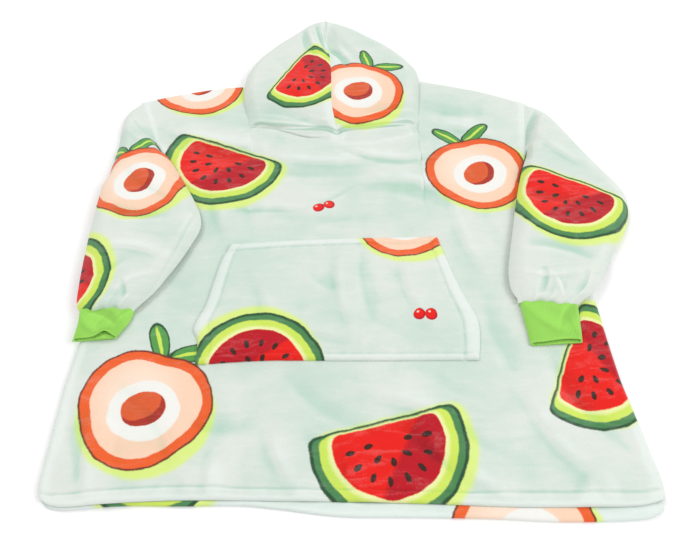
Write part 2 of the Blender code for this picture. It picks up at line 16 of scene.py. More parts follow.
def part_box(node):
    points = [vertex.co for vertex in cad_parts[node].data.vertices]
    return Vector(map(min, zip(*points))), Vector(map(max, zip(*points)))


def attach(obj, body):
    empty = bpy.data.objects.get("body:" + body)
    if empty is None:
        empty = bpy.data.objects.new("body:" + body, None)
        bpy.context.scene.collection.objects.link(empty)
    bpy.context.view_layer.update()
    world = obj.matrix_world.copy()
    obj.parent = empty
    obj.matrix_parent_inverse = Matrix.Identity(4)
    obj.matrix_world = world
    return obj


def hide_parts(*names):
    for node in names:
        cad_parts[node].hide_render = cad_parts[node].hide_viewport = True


bl_info = {
    "name": "Plush Blanket Hoodie",
    "version": (1, 0, 0),
    "blender": (4, 5, 0),
    "location": "View3D > Sidebar > Hoodie",
    "description": "Makes a printed plush blanket hoodie laid flat, with a studio round it",
    "category": "Add Mesh",
}

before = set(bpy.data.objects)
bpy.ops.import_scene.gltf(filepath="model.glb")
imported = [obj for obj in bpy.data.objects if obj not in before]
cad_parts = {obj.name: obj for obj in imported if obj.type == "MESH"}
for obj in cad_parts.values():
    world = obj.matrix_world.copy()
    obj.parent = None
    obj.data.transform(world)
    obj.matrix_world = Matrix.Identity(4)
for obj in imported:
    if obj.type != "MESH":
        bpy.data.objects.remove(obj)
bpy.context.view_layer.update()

# Cloth, in the order in which it lies
PLUSH = 0.006
POCKET_PLUSH = 0.005
RIB = 0.0025
SEAM = 0.0004  # gap between two pieces that are sewn together
AIR = 0.0012  # what stands for the garment's flattened hollow, over that
SLOT = 0.0034  # the same inside a sleeve, a cuff or the hood
BACK_TOP = PLUSH
FRONT_TOP = BACK_TOP + SEAM + AIR + PLUSH
ON_BACK = BACK_TOP + SEAM
ON_FRONT = FRONT_TOP + SEAM
SIDE_PULL = 6  # how fast the shape of a panel's side fades out towards its middle

# Where a sleeve or the hood comes down from the cloth under it to the floor
STEP_CLEAR = 0.022  # how far past the edge of that cloth it starts
ARMHOLE_CLEAR = 0.046  # the same at the armhole
STEP_RUN = 0.030  # and over how far it comes down

# Unevenness of the front where it has no fold. Columns: length of its waves, rise
FRONT_RIPPLES = ((0.34, 0.0008), (0.07, 0.0005))
FRONT_REST = 0.0006  # how far the front lies below its full height, to leave room for them
# The waves themselves. Columns: turn, how much shorter than the longest, start
WAVES = ((0.3, 1.0, 0.0), (1.4, 1.3, 1.7), (2.3, 0.8, 3.1), (2.9, 1.9, 4.4), (0.9, 2.3, 5.2))

# Turned and stitched edges
HEM_TURN = 0.022
BODY_LENGTH = 0.93
BODY_WIDTH = 0.93
POCKET_WIDTH = 0.45
POCKET_HEIGHT = 0.255
POCKET_TURN_TOP = 0.017
POCKET_TURN_SIDE = 0.022
POCKET_TURN_FOOT = 0.012
POCKET_DRAWN = 0.0020  # how far the pocket's edges are drawn down
POCKET_FULL = 0.0026  # how much fuller its middle is
POCKET_FULL_RUN = 0.07
HEM_BAND = 0.0011  # how much fuller a turned edge is
HEM_BAND_RUN = 0.006
HEM_GROOVE = 0.0012  # how deep its stitching lies
HEM_GROOVE_WIDTH = 0.0042
HEM_PUCKER = 0.00015
HEM_DROP_RUN = 0.035  # over which the front comes down on the back at its hem
BACK_HEM_MOST = 0.0008  # the most that the back's hem adds, so that it keeps clear of the front
BACK_HEM_SHIFT = 0.010  # how far its puckers lie beside the front's
STITCH_PITCH = 0.0046
STITCH_WIDTH = 0.00038
STITCH_LENGTH = 0.36  # half of a stitch, in shares of the pitch
STITCH_SUNK = 0.0002  # how far the pocket's stitches lie in its pile
STITCHED_FROM = 0.004  # share of the hem at which its stitching starts and, from the other end, stops
STITCH_POINTS = 400

# Roundness of the edges: of the upper face, and of the face below
HEM_ROUND = 0.0050
SIDE_ROUND = 0.0042
SHOULDER_SHARPER = 0.0026  # how much sharper the front's edge is from the armhole up
ARMHOLE_SHARE = 0.60
ARMHOLE_RUN = 0.08
FRONT_LOW_ROUND = 0.0022
SIDE_DOWN = 0.0026  # how far the front comes down on the back at its sides
SIDE_DOWN_RUN = 0.014
BACK_ROUND = 0.0034
BACK_LOW_ROUND = 0.0020
POCKET_ROUND = 0.0036
POCKET_LOW_ROUND = 0.0008
THINNEST = 0.0004
PILE_ROUND = 0.35  # share of a plain fold's roundness in the edge of a soft pile

# Where the rows and columns of a piece's grid lie near its edges, as distances from the edge
NEAR_EDGE = (0.0, 0.0006, 0.0016, 0.0032, 0.0055)
NEAR_HEM = (*NEAR_EDGE, 0.009, 0.013, 0.0165, 0.0185, 0.020, 0.022, 0.024, 0.0255, 0.028)
NEAR_BACK_TOP = (0.0, 0.0010, 0.0030, 0.0060)
NEAR_POCKET_SIDE = (*NEAR_EDGE, 0.009, 0.013, 0.0175, 0.020, 0.022, 0.024, 0.0265, 0.030)
NEAR_POCKET_FOOT = (*NEAR_EDGE, 0.008, 0.0100, 0.012, 0.014, 0.0162, 0.020)
NEAR_POCKET_TOP = (*NEAR_EDGE, 0.009, 0.0128, 0.015, 0.017, 0.019, 0.0212, 0.025)
NEAR_RIM = (0.0, 0.0010, 0.0025, 0.0045, 0.0070, 0.010)
NEAR_CROWN = (0.0, 0.006)

# Hems. Columns: x, y, from left to right
FRONT_HEM = (
    (-0.453, 0.001), (-0.430, -0.003), (-0.347, 0.000), (-0.257, 0.000), (-0.168, -0.004), (-0.078, -0.009),
    (0.018, -0.014), (0.144, -0.023), (0.246, -0.031), (0.340, -0.035), (0.420, -0.037), (0.452, -0.033),
)
BACK_HEM = (
    (-0.452, -0.002), (-0.430, -0.006), (-0.347, -0.003), (-0.257, -0.007), (-0.168, -0.010), (-0.108, -0.018),
    (-0.019, -0.032), (0.089, -0.038), (0.196, -0.044), (0.300, -0.053), (0.393, -0.056), (0.432, -0.055),
    (0.446, -0.052),
)
# Right corner of the back's hem. Columns: share, x, y
BACK_CORNER = ((0.004, 0.4560, -0.0480), (0.008, 0.4650, -0.0380))

# Sides of the body, from hem to shoulder tip. The armhole is cut in under the sleeve. Columns: share, x, y
SIDE_LEFT = (
    (0.010, -0.4645, 0.008), (0.022, -0.4700, 0.018), (0.040, -0.4715, 0.034), (0.220, -0.4650, 0.195),
    (0.320, -0.4540, 0.280), (0.500, -0.4510, 0.440), (0.660, -0.4480, 0.585), (0.760, -0.3275, 0.668),
    (0.860, -0.3830, 0.757), (1.000, -0.4280, 0.881),
)
SIDE_RIGHT = (
    (0.010, 0.4665, -0.029), (0.022, 0.4685, -0.014), (0.040, 0.4690, 0.006), (0.220, 0.4515, 0.164),
    (0.320, 0.4490, 0.239), (0.500, 0.4480, 0.390), (0.640, 0.4470, 0.535), (0.730, 0.3625, 0.609),
    (0.830, 0.3960, 0.698), (1.000, 0.4205, 0.843),
)
STRAIGHT_SIDE = 3  # row of a side from which it runs straight up to the underarm
UNDERARM = 6

# Shoulder seams from the tip to the hood. Columns: share, x, y
SHOULDER_LEFT = ((0.0, -0.4280, 0.8810), (0.4, -0.3450, 0.9050), (0.75, -0.2590, 0.9210), (1.0, -0.2050, 0.9255))
SHOULDER_RIGHT = ((0.0, 0.4205, 0.8430), (0.4, 0.3270, 0.8870), (0.75, 0.2430, 0.9150), (1.0, 0.1955, 0.9290))
SHOULDER_COLUMNS = 7  # steps along the front's upper edge that each shoulder takes up
BACK_SHOULDER = 0.25  # share of the back's upper edge that each shoulder takes up

# Neck seam and rim of the hood, from its centre seam outwards. Columns: share, x, y
NECK_LEFT = (
    (0.0, 0.0020, 0.7345), (0.32, -0.0530, 0.7550), (0.68, -0.1200, 0.7820), (0.84, -0.1530, 0.7885),
    (1.0, -0.1850, 0.7910),
)
NECK_RIGHT = (
    (0.0, 0.0020, 0.7345), (0.32, 0.0560, 0.7325), (0.68, 0.1180, 0.7410), (0.84, 0.1480, 0.7490),
    (1.0, 0.1775, 0.7650),
)
RIM_LEFT = (
    (0.0, 0.0020, 0.7530), (0.32, -0.0530, 0.7540), (0.68, -0.1190, 0.7780), (0.84, -0.1520, 0.7890),
    (1.0, -0.1845, 0.7920),
)
RIM_RIGHT = (
    (0.0, 0.0020, 0.7530), (0.32, 0.0560, 0.7590), (0.68, 0.1180, 0.7640), (0.84, 0.1480, 0.7700),
    (1.0, 0.1760, 0.7780),
)

# Hood, a row for each section from the rim to the crown, fanning out from the centre seam.
# Columns: y on the centre seam, left edge x, y, right edge x, y, height of its top
HOOD_ROWS = (
    (0.753, -0.1840, 0.792, 0.1760, 0.778, 0.0290),
    (0.762, -0.1865, 0.802, 0.1785, 0.790, 0.0325),
    (0.777, -0.1890, 0.817, 0.1805, 0.808, 0.0280),
    (0.795, -0.1935, 0.840, 0.1830, 0.834, 0.0335),
    (0.830, -0.1990, 0.873, 0.1865, 0.868, 0.0400),
    (0.868, -0.2015, 0.908, 0.1895, 0.902, 0.0430),
    (0.905, -0.1985, 0.942, 0.1910, 0.936, 0.0430),
    (0.940, -0.1890, 0.980, 0.1865, 0.966, 0.0420),
    (0.972, -0.1730, 1.012, 0.1740, 0.992, 0.0400),
    (1.000, -0.1490, 1.044, 0.1520, 1.024, 0.0380),
    (1.025, -0.1200, 1.076, 0.1230, 1.058, 0.0350),
    (1.045, -0.0850, 1.106, 0.0840, 1.090, 0.0340),
    (1.060, -0.0500, 1.138, 0.0400, 1.124, 0.0335),
    (1.075, -0.0140, 1.153, -0.0140, 1.153, 0.0320),
)
NECK_ROWS = (3, 4, 5)  # rows of the hood beside which the front panel ends
# Columns: y, x of the hood's centre seam
CENTRE_SEAM = (
    (0.730, 0.002), (0.760, 0.002), (0.830, -0.007), (0.930, -0.006), (1.000, -0.008), (1.060, -0.014),
    (1.160, -0.014),
)

# Sleeves, a row for each section from the armhole to the cuff. Columns: outer x, y, inner x, y, height of the top
SLEEVE_LEFT = (
    (-0.4284, 0.8814, -0.3834, 0.7574, 0.0160),
    (-0.4475, 0.8610, -0.3790, 0.7480, 0.0210),
    (-0.4590, 0.8330, -0.3720, 0.7350, 0.0260),
    (-0.4610, 0.7950, -0.3600, 0.7180, 0.0310),
    (-0.4590, 0.7570, -0.3440, 0.6950, 0.0345),
    (-0.4620, 0.7150, -0.3260, 0.6640, 0.0370),
    (-0.4660, 0.6720, -0.3070, 0.6280, 0.0380),
    (-0.4700, 0.6230, -0.2860, 0.5860, 0.0380),
    (-0.4725, 0.5740, -0.2690, 0.5440, 0.0380),
    (-0.4738, 0.5250, -0.2660, 0.5080, 0.0380),
    (-0.4740, 0.4800, -0.2800, 0.4700, 0.0375),
    (-0.4738, 0.4400, -0.2980, 0.4310, 0.0370),
    (-0.4730, 0.4050, -0.3160, 0.3990, 0.0370),
    (-0.4715, 0.3740, -0.3330, 0.3700, 0.0355),
    (-0.4695, 0.3520, -0.3510, 0.3480, 0.0320),
    (-0.4650, 0.3375, -0.3660, 0.3345, 0.0270),
)
SLEEVE_RIGHT = (
    (0.4209, 0.8434, 0.3964, 0.6984, 0.0160),
    (0.4420, 0.8320, 0.3945, 0.6900, 0.0210),
    (0.4610, 0.8130, 0.3905, 0.6790, 0.0260),
    (0.4770, 0.7840, 0.3850, 0.6650, 0.0310),
    (0.4900, 0.7530, 0.3770, 0.6460, 0.0345),
    (0.5050, 0.7170, 0.3670, 0.6190, 0.0370),
    (0.5235, 0.6740, 0.3560, 0.5860, 0.0380),
    (0.5465, 0.6270, 0.3440, 0.5480, 0.0380),
    (0.5670, 0.5830, 0.3345, 0.5130, 0.0385),
    (0.5690, 0.5440, 0.3260, 0.4820, 0.0385),
    (0.5560, 0.5020, 0.3170, 0.4500, 0.0380),
    (0.5355, 0.4640, 0.3090, 0.4200, 0.0375),
    (0.5105, 0.4280, 0.3020, 0.3920, 0.0370),
    (0.4862, 0.3950, 0.2985, 0.3660, 0.0370),
    (0.4680, 0.3660, 0.2990, 0.3460, 0.0355),
    (0.4465, 0.3370, 0.3040, 0.3310, 0.0325),
    (0.4120, 0.3110, 0.3100, 0.3225, 0.0275),
)
CUFF_LEFT = (
    (-0.4645, 0.3370, -0.3660, 0.3340, 0.0255),
    (-0.4625, 0.3300, -0.3670, 0.3275, 0.0262),
    (-0.4610, 0.3120, -0.3720, 0.3100, 0.0260),
    (-0.4625, 0.2930, -0.3820, 0.2930, 0.0250),
    (-0.4640, 0.2775, -0.3905, 0.2800, 0.0240),
)
CUFF_RIGHT = (
    (0.4120, 0.3105, 0.3100, 0.3220, 0.0258),
    (0.4110, 0.3030, 0.3105, 0.3140, 0.0262),
    (0.4085, 0.2820, 0.3115, 0.2900, 0.0260),
    (0.4060, 0.2600, 0.3125, 0.2630, 0.0250),
    (0.4030, 0.2390, 0.3135, 0.2370, 0.0235),
)

# Folded edges of the tubes and the hood
SLEEVE_ROUND = 0.034  # how far in from the edge a sleeve has its full height
CUFF_ROUND = 0.008
HOOD_ROUND = 0.030
EDGE_LIFT = 1.2  # height of a tube's edge over what it lies on, in thicknesses of its cloth
EDGE_LIFT_MOST = 0.45  # and at most this share of the tube's height
HOOD_EDGE_LIFT = 0.32  # the same share for the hood
CROWN_LIFT = 0.30  # how much further up the edge lies at the hood's crown
CROWN_ROWS = (8, 5)  # row of the hood from which it does so, and over how many
WALL_INSET = 1.7  # how far in from the edge the hollow ends, in thicknesses of the cloth
RIM_INSET = 0.25  # share of that at the hood's rim
RIM_INSET_ROWS = 2.5
CROWN = 0.18  # how much lower the sides lie than the middle
EDGE_CROWDING = 0.12  # how closely a tube's columns lie at its edges

# Ends of the tubes
TUCKED = 0.0035  # how far a sleeve's start reaches under the armhole's seam
CUFF_TUCKED = 0.0050
TUCK_RUN = 0.008
TUCKED_DROP = 0.0055  # how much lower a sleeve lies there
SEWN_RUN = 0.024  # over which a sleeve's start takes up the height of the front
SEWN_SINK = 0.0006
SEWN_SHARP = 0.75  # how much sharper its edges are there
END_RUN = 0.009
MOUTH_UNDER = 0.0022  # how far the lower layer reaches past the upper in a cuff's mouth
MOUTH_HOLLOW = 0.3  # share of the mouth's lift that its hollow has too
CUFF_BELOW = 0.0012  # how much lower a cuff lies where the sleeve comes over it
CUFF_WIDTH = 0.095
# Mouths of the cuffs. Columns: share of the width where it stands open, how wide, how far its upper rim is drawn
# back everywhere, how much further where it is open, and how much that is lifted
MOUTHS = {"cuff_left": (0.30, 0.18, 0.0, 0.0085, 0.0042), "cuff_right": (0.66, 0.30, 0.0008, 0.0022, 0.0012)}
RIB_RISE = 0.00045
COLUMNS_A_RIB = 12

# Gathers and seam of the sleeves
GATHER_WAVES = (3, 5, 8, 13)
GATHER_REACH = 0.034
GATHER_RISE = 0.0010
PUFF = 0.0034  # how much fuller a sleeve is just before its cuff
PUFF_AT = 0.011
# Underarm seam of the left sleeve. Columns: y, x
LEFT_UNDERARM_SEAM = ((0.356, -0.345), (0.394, -0.327), (0.445, -0.309), (0.496, -0.292), (0.544, -0.274))
UNDERARM_DEPTH = 0.0020
UNDERARM_WIDTH = 0.005

# Rim of the hood
HOOD_LENGTH = 0.40
FIRST_ROW = 0.010  # distance from the rim to the hood's second row, and from each row to the next
LATER_ROW = 0.017
NECK_TUCK = 0.0030  # how far the hood's lower layer reaches past the neckline
CREASE_DEPTH = 0.0050
CREASE_WIDTH = 0.0032
ROLL_RISE = 0.0022  # of the soft roll beyond the crease
ROLL_AT = 0.010
ROLL_WIDTH = 0.008
RIM_DROP = 0.0105  # how much lower the hood lies at its rim
RIM_DROP_RUN = 0.042
RIM_CLEAR = 0.0002  # how far its top keeps over the front there
RIM_ROUND = 0.0022
RIM_LOW_ROUND = 0.0020

SLEEVE_SIDE = -0.4790  # where the outer side of the left sleeve's solid lies

# Pocket. Columns: share, x, y
POCKET_TOP = ((0.0, -0.2060, 0.4745), (0.25, -0.1090, 0.4780), (0.6, 0.0250, 0.4790), (1.0, 0.1820, 0.4755))
POCKET_FOOT = ((0.0, -0.2530, 0.2225), (0.25, -0.1440, 0.2260), (0.6, 0.0230, 0.2190), (1.0, 0.2230, 0.2120))
POCKET_LEFT = (
    (0.0, -0.2530, 0.2225), (0.18, -0.2520, 0.2680), (0.28, -0.2610, 0.2940), (0.46, -0.2440, 0.3390),
    (0.64, -0.2350, 0.3810), (0.88, -0.2210, 0.4410), (1.0, -0.2060, 0.4745),
)
POCKET_RIGHT = (
    (0.0, 0.2230, 0.2120), (0.18, 0.2315, 0.2580), (0.31, 0.2320, 0.2920), (0.54, 0.2120, 0.3520),
    (0.74, 0.1980, 0.4070), (1.0, 0.1820, 0.4755),
)

HEM_MIDDLE = (
    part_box("sleeve_left")[0][0] - SLEEVE_SIDE,
    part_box("hood_left")[1][1] - HOOD_ROWS[-1][2],
)

# Folds, as soft ridges or troughs. Columns: start x, y, end x, y, half width, rise, bow to the right
FRONT_FOLDS = (
    (-0.365, 0.765, -0.190, 0.712, 0.044, -0.0034, 0.012),
    (-0.340, 0.800, -0.160, 0.742, 0.046, 0.0044, 0.010),
    (-0.300, 0.690, -0.130, 0.676, 0.036, -0.0024, -0.012),
    (-0.140, 0.716, 0.060, 0.694, 0.040, 0.0038, 0.010),
    (-0.150, 0.668, 0.050, 0.655, 0.034, -0.0024, 0.008),
    (0.006, 0.722, 0.160, 0.672, 0.013, -0.0018, 0.014),
    (0.050, 0.716, 0.185, 0.700, 0.030, 0.0034, 0.010),
    (0.070, 0.640, 0.215, 0.600, 0.050, 0.0040, -0.016),
    (0.060, 0.610, 0.200, 0.560, 0.034, -0.0020, -0.014),
    (-0.060, 0.560, 0.030, 0.612, 0.012, -0.0014, 0.004),
    (-0.210, 0.556, -0.070, 0.548, 0.012, -0.0014, -0.004),
    (0.225, 0.795, 0.350, 0.735, 0.044, 0.0042, -0.010),
    (0.205, 0.835, 0.300, 0.810, 0.034, -0.0026, 0.004),
    (-0.200, 0.600, 0.060, 0.560, 0.055, 0.0034, 0.014),
    (0.235, 0.570, 0.270, 0.400, 0.044, 0.0038, 0.010),
    (-0.232, 0.610, -0.212, 0.510, 0.040, 0.0036, 0.006),
    (-0.306, 0.430, -0.286, 0.250, 0.056, -0.0017, 0.012),
    (0.260, 0.330, 0.290, 0.180, 0.040, -0.0026, 0.010),
    (0.045, 0.165, 0.160, 0.115, 0.046, 0.0050, -0.010),
    (0.130, 0.090, 0.225, 0.005, 0.042, 0.0056, 0.012),
    (0.080, 0.110, 0.170, 0.030, 0.030, -0.0026, 0.008),
    (0.300, 0.160, 0.385, 0.010, 0.052, 0.0048, 0.014),
    (0.350, 0.210, 0.430, 0.060, 0.036, -0.0030, 0.014),
    (-0.340, 0.200, -0.250, 0.050, 0.052, 0.0044, -0.014),
    (-0.430, 0.160, -0.415, 0.060, 0.034, -0.0024, 0.008),
    (-0.120, 0.110, -0.075, 0.010, 0.042, 0.0042, 0.006),
    (-0.400, 0.110, -0.385, 0.010, 0.036, 0.0036, 0.006),
    (0.010, 0.070, 0.020, -0.014, 0.038, 0.0040, 0.004),
    (0.375, 0.000, 0.340, -0.034, 0.044, 0.0034, 0.0),
    (-0.200, 0.070, -0.205, 0.000, 0.038, 0.0040, 0.004),
    (-0.300, 0.140, -0.170, 0.112, 0.032, -0.0024, 0.012),
    (-0.090, 0.190, 0.030, 0.100, 0.034, -0.0026, 0.012),
)
POCKET_FOLDS = (
    (0.000, 0.440, 0.016, 0.290, 0.034, 0.0038, 0.008),
    (0.040, 0.430, 0.052, 0.300, 0.026, -0.0024, 0.006),
    (-0.160, 0.420, -0.120, 0.270, 0.040, 0.0034, -0.010),
    (0.120, 0.430, 0.155, 0.290, 0.038, 0.0034, 0.012),
    (-0.080, 0.295, 0.060, 0.262, 0.030, 0.0022, 0.010),
    (-0.060, 0.400, 0.010, 0.360, 0.024, -0.0018, 0.008),
)
SLEEVE_FOLDS = (
    (-0.438, 0.826, -0.380, 0.756, 0.014, -0.0036, 0.004),
    (-0.450, 0.800, -0.372, 0.715, 0.022, 0.0026, 0.004),
    (-0.430, 0.700, -0.330, 0.600, 0.034, 0.0040, 0.010),
    (-0.455, 0.570, -0.340, 0.535, 0.026, -0.0034, 0.012),
    (-0.440, 0.470, -0.330, 0.445, 0.028, 0.0034, -0.010),
    (-0.450, 0.400, -0.400, 0.430, 0.016, -0.0026, 0.006),
    (-0.400, 0.372, -0.345, 0.400, 0.016, 0.0024, -0.006),
    (-0.440, 0.352, -0.420, 0.400, 0.009, -0.0030, 0.004),
    (-0.385, 0.350, -0.392, 0.385, 0.008, -0.0026, 0.003),
    (0.447, 0.828, 0.401, 0.720, 0.015, -0.0050, 0.006),
    (0.462, 0.812, 0.398, 0.676, 0.022, 0.0034, 0.006),
    (0.430, 0.730, 0.500, 0.640, 0.034, 0.0040, 0.010),
    (0.360, 0.570, 0.490, 0.540, 0.030, -0.0034, 0.012),
    (0.550, 0.540, 0.440, 0.470, 0.030, 0.0038, -0.010),
    (0.345, 0.440, 0.450, 0.405, 0.022, -0.0030, -0.008),
    (0.330, 0.375, 0.420, 0.372, 0.014, 0.0026, 0.006),
    (0.350, 0.335, 0.365, 0.380, 0.010, -0.0034, 0.004),
    (0.410, 0.330, 0.440, 0.370, 0.010, -0.0034, 0.004),
    (0.385, 0.325, 0.380, 0.362, 0.008, 0.0026, 0.002),
)
HOOD_FOLDS = (
    (-0.052, 1.110, -0.030, 1.000, 0.020, 0.0070, 0.004),
    (-0.036, 1.110, -0.014, 1.010, 0.010, -0.0060, 0.002),
    (-0.012, 1.110, 0.004, 1.010, 0.020, -0.0080, 0.004),
    (-0.010, 1.030, 0.028, 0.960, 0.016, -0.0070, -0.004),
    (0.020, 1.100, 0.080, 0.990, 0.036, 0.0050, 0.008),
    (-0.066, 1.100, -0.060, 1.020, 0.010, -0.0030, 0.004),
    (-0.150, 0.850, -0.060, 0.900, 0.044, 0.0035, 0.010),
    (0.150, 0.850, 0.060, 0.950, 0.044, 0.0030, -0.010),
    (-0.176, 0.826, -0.070, 0.800, 0.020, -0.0034, -0.006),
    (-0.070, 0.796, -0.020, 0.778, 0.012, -0.0030, 0.004),
    (0.050, 0.805, 0.170, 0.826, 0.020, -0.0034, -0.006),
    (-0.120, 0.980, -0.080, 0.930, 0.026, -0.0020, 0.006),
)
CUFF_FOLDS = (
    (0.325, 0.310, 0.385, 0.255, 0.022, 0.0020, 0.006),
    (0.402, 0.306, 0.374, 0.262, 0.016, -0.0030, 0.004),
    (0.395, 0.290, 0.400, 0.250, 0.014, 0.0018, 0.002),
    (-0.452, 0.326, -0.410, 0.290, 0.020, 0.0026, 0.008),
    (-0.440, 0.330, -0.395, 0.306, 0.013, -0.0034, -0.006),
    (-0.370, 0.326, -0.398, 0.292, 0.012, 0.0022, 0.004),
    (-0.404, 0.330, -0.425, 0.284, 0.012, -0.0022, 0.003),
)
FOLD_STEEP = 1.7  # how much steeper a fold is on its right side, and gentler on its left
FOLD_GENTLE = 0.8
FOLD_ENDS = 0.45  # share of its rise that a fold still has at its ends
SEAM_DEPTH = 0.0030
SEAM_WIDTH = 0.0060
NECK_UNDER = 0.008  # how far the neckline reaches under the sides of the hood
# The hood's stitched rim. Columns: x, y
RIM_CREASE = (
    (-0.1700, 0.7900), (-0.1560, 0.7880), (-0.0760, 0.7765), (-0.0300, 0.7755), (-0.0110, 0.7710), (0.0010, 0.7625),
    (0.0130, 0.7710), (0.0340, 0.7735), (0.0940, 0.7800), (0.1570, 0.7820), (0.1750, 0.7860),
)
# How deep each point lies in a crease or a wide fold, from which the finish paints shade into them and a highlight onto
# ridges
HOLLOW_REACH = 14  # rounds of smoothing, each about one step of a piece's grid
HOLLOW_DEPTH = 0.0016  # depth of a crease that is marked in full
SAG_REACH = 70  # the same two for wide folds
SAG_DEPTH = 0.0012
SKIN_GAP = 0.2  # thickness of a wall before its points are put in their places

# Studio. A light's columns: name, place, size, power
LIGHTS = (("key_light", (-3.6, 3.4, 6.2), 3.6, 180.0), ("fill_light", (4.4, -1.6, 4.2), 3.4, 143.0))
WORLD_LIGHT = 0.73
PAPER = (0.95, 0.95, 0.95, 1)
PAPER_SIZE = 30
PAPER_DROP = 0.0004
CAMERA_LENS = 35.28
CAMERA_PLACE = (-0.01729, -0.32253)  # in the plan
CAMERA_PITCH = math.radians(55)
CAMERA_HEADING = math.radians(2.4)

# Colours of the print
INK = {
    "outline": (0.026, 0.079, 0.037),
    "rind": (0.070, 0.219, 0.079),
    "lime": (0.567, 0.725, 0.102),
    "halo": (0.651, 0.800, 0.149),
    "pale": (0.772, 0.800, 0.372),
    "flesh": (0.744, 0.011, 0.007),
    "flesh_dark": (0.465, 0.006, 0.015),
    "seed": (0.051, 0.015, 0.011),
    "brown": (0.158, 0.033, 0.019),
    "skin": (0.781, 0.112, 0.023),
    "peach": (0.856, 0.595, 0.437),
    "peach_light": (0.874, 0.688, 0.558),
    "white": (0.809, 0.800, 0.763),
    "stone": (0.670, 0.102, 0.028),
    "stone_dark": (0.391, 0.033, 0.020),
    "leaf": (0.093, 0.307, 0.074),
}


# Reading the tables


def curve(table, keys):
    """The table's other columns at these keys, on a smooth curve through its rows."""
    rows = np.array(table, float)
    stops, values = rows[:, 0], rows[:, 1:]
    keys = np.asarray(keys, float)
    before, after = np.r_[0, :len(rows) - 1], np.r_[1:len(rows), len(rows) - 1]
    slopes = (values[after] - values[before]) / (stops[after] - stops[before])[:, None]
    at = np.clip(np.searchsorted(stops, keys, side="right") - 1, 0, len(rows) - 2)
    run = (stops[at + 1] - stops[at])[..., None]
    share = np.clip((keys[..., None] - stops[at][..., None]) / run, 0.0, 1.0)
    square, cube = share ** 2, share ** 3
    return (
        (2 * cube - 3 * square + 1) * values[at] + (cube - 2 * square + share) * run * slopes[at]
        + (3 * square - 2 * cube) * values[at + 1] + (cube - square) * run * slopes[at + 1]
    )


def straight(table, keys):
    """The table's other columns at these keys, on straight lines between its rows."""
    rows = np.array(table, float)
    return np.stack([np.interp(keys, rows[:, 0], column) for column in rows.T[1:]], axis=-1)


def counted(table):
    """The table with the number of each row as its first column."""
    return [(number, *row) for number, row in enumerate(table)]


def smooth(amount):
    """A soft step: 0 up to 0, 1 from 1 on."""
    amount = np.clip(amount, 0.0, 1.0)
    return amount * amount * (3.0 - 2.0 * amount)


def fold_height(folds, x, y):
    """Height that the folds add here. Each is a soft ridge or trough that fades out towards its ends."""
    height = np.zeros(np.broadcast(x, y).shape)
    for x0, y0, x1, y1, half_width, rise, bow in folds:
        length = math.hypot(x1 - x0, y1 - y0)
        along = ((x - x0) * (x1 - x0) + (y - y0) * (y1 - y0)) / length ** 2
        across = ((x - x0) * (y1 - y0) - (y - y0) * (x1 - x0)) / length
        share = np.clip(along, 0.0, 1.0)
        across = across - bow * 4 * share * (1 - share)
        across = np.where(across > 0, across * FOLD_STEEP, across * FOLD_GENTLE)
        away = np.hypot(across, (along - share) * length) / half_width
        height += rise * np.clip(1 - away ** 2, 0, 1) ** 2 * (FOLD_ENDS + (1 - FOLD_ENDS) * np.sin(math.pi * share))
    return height


def ripple(x, y, size, rise):
    """Slight unevenness of cloth that lies down loosely: a few long waves that cross."""
    height = 0.0
    for turn, stretch, start in WAVES:
        run = (x * math.cos(turn) + y * math.sin(turn)) * 2 * math.pi / size * stretch
        bent = run + 0.9 * np.sin(0.5 * run + (x * math.sin(turn) - y * math.cos(turn)) * 5 / size + start)
        height = height + np.sin(bent + start) / stretch
    return height * rise / 4


def roll(away, radius):
    """How far a rounded edge of this radius lies below its top, this far from the edge."""
    share = np.clip(away / radius, 0.0, 1.0)
    return radius * (1.0 - np.sqrt(1.0 - (1.0 - share) ** 2))


def fold_round(away, radius):
    """Quarter of an ellipse: 0 at a fold's edge, 1 from radius inwards."""
    return np.sqrt(np.clip(1.0 - (1.0 - np.clip(away / radius, 0, 1)) ** 2, 0.0, 1.0))


def soft_round(away, radius):
    """The same with a slanting start, as the edge of a soft pile of cloth has it."""
    slant = np.sin(np.clip(away / radius, 0, 1) * math.pi / 2)
    return PILE_ROUND * fold_round(away, radius) + (1 - PILE_ROUND) * slant


def crowded(count, near_start, near_end, length):
    """Shares from 0 to 1 in this many steps, with the given places from each end among them, in metres."""
    start = [place / length for place in near_start]
    end = [1 - place / length for place in reversed(near_end)]
    middle = np.linspace(start[-1], end[0], count + 3 - len(start) - len(end))
    return np.array(start[:-1] + list(middle) + end[1:])


# Making and finishing pieces


def in_frame(x, y, z):
    """These places in the plan, at these heights, in the garment's own frame."""
    return np.stack([x + HEM_MIDDLE[0], y + HEM_MIDDLE[1], z], axis=-1)


def points_of(mesh):
    points = np.empty(len(mesh.vertices) * 3, np.float32)
    mesh.vertices.foreach_get("co", points)
    return points.reshape(-1, 3).astype(float)


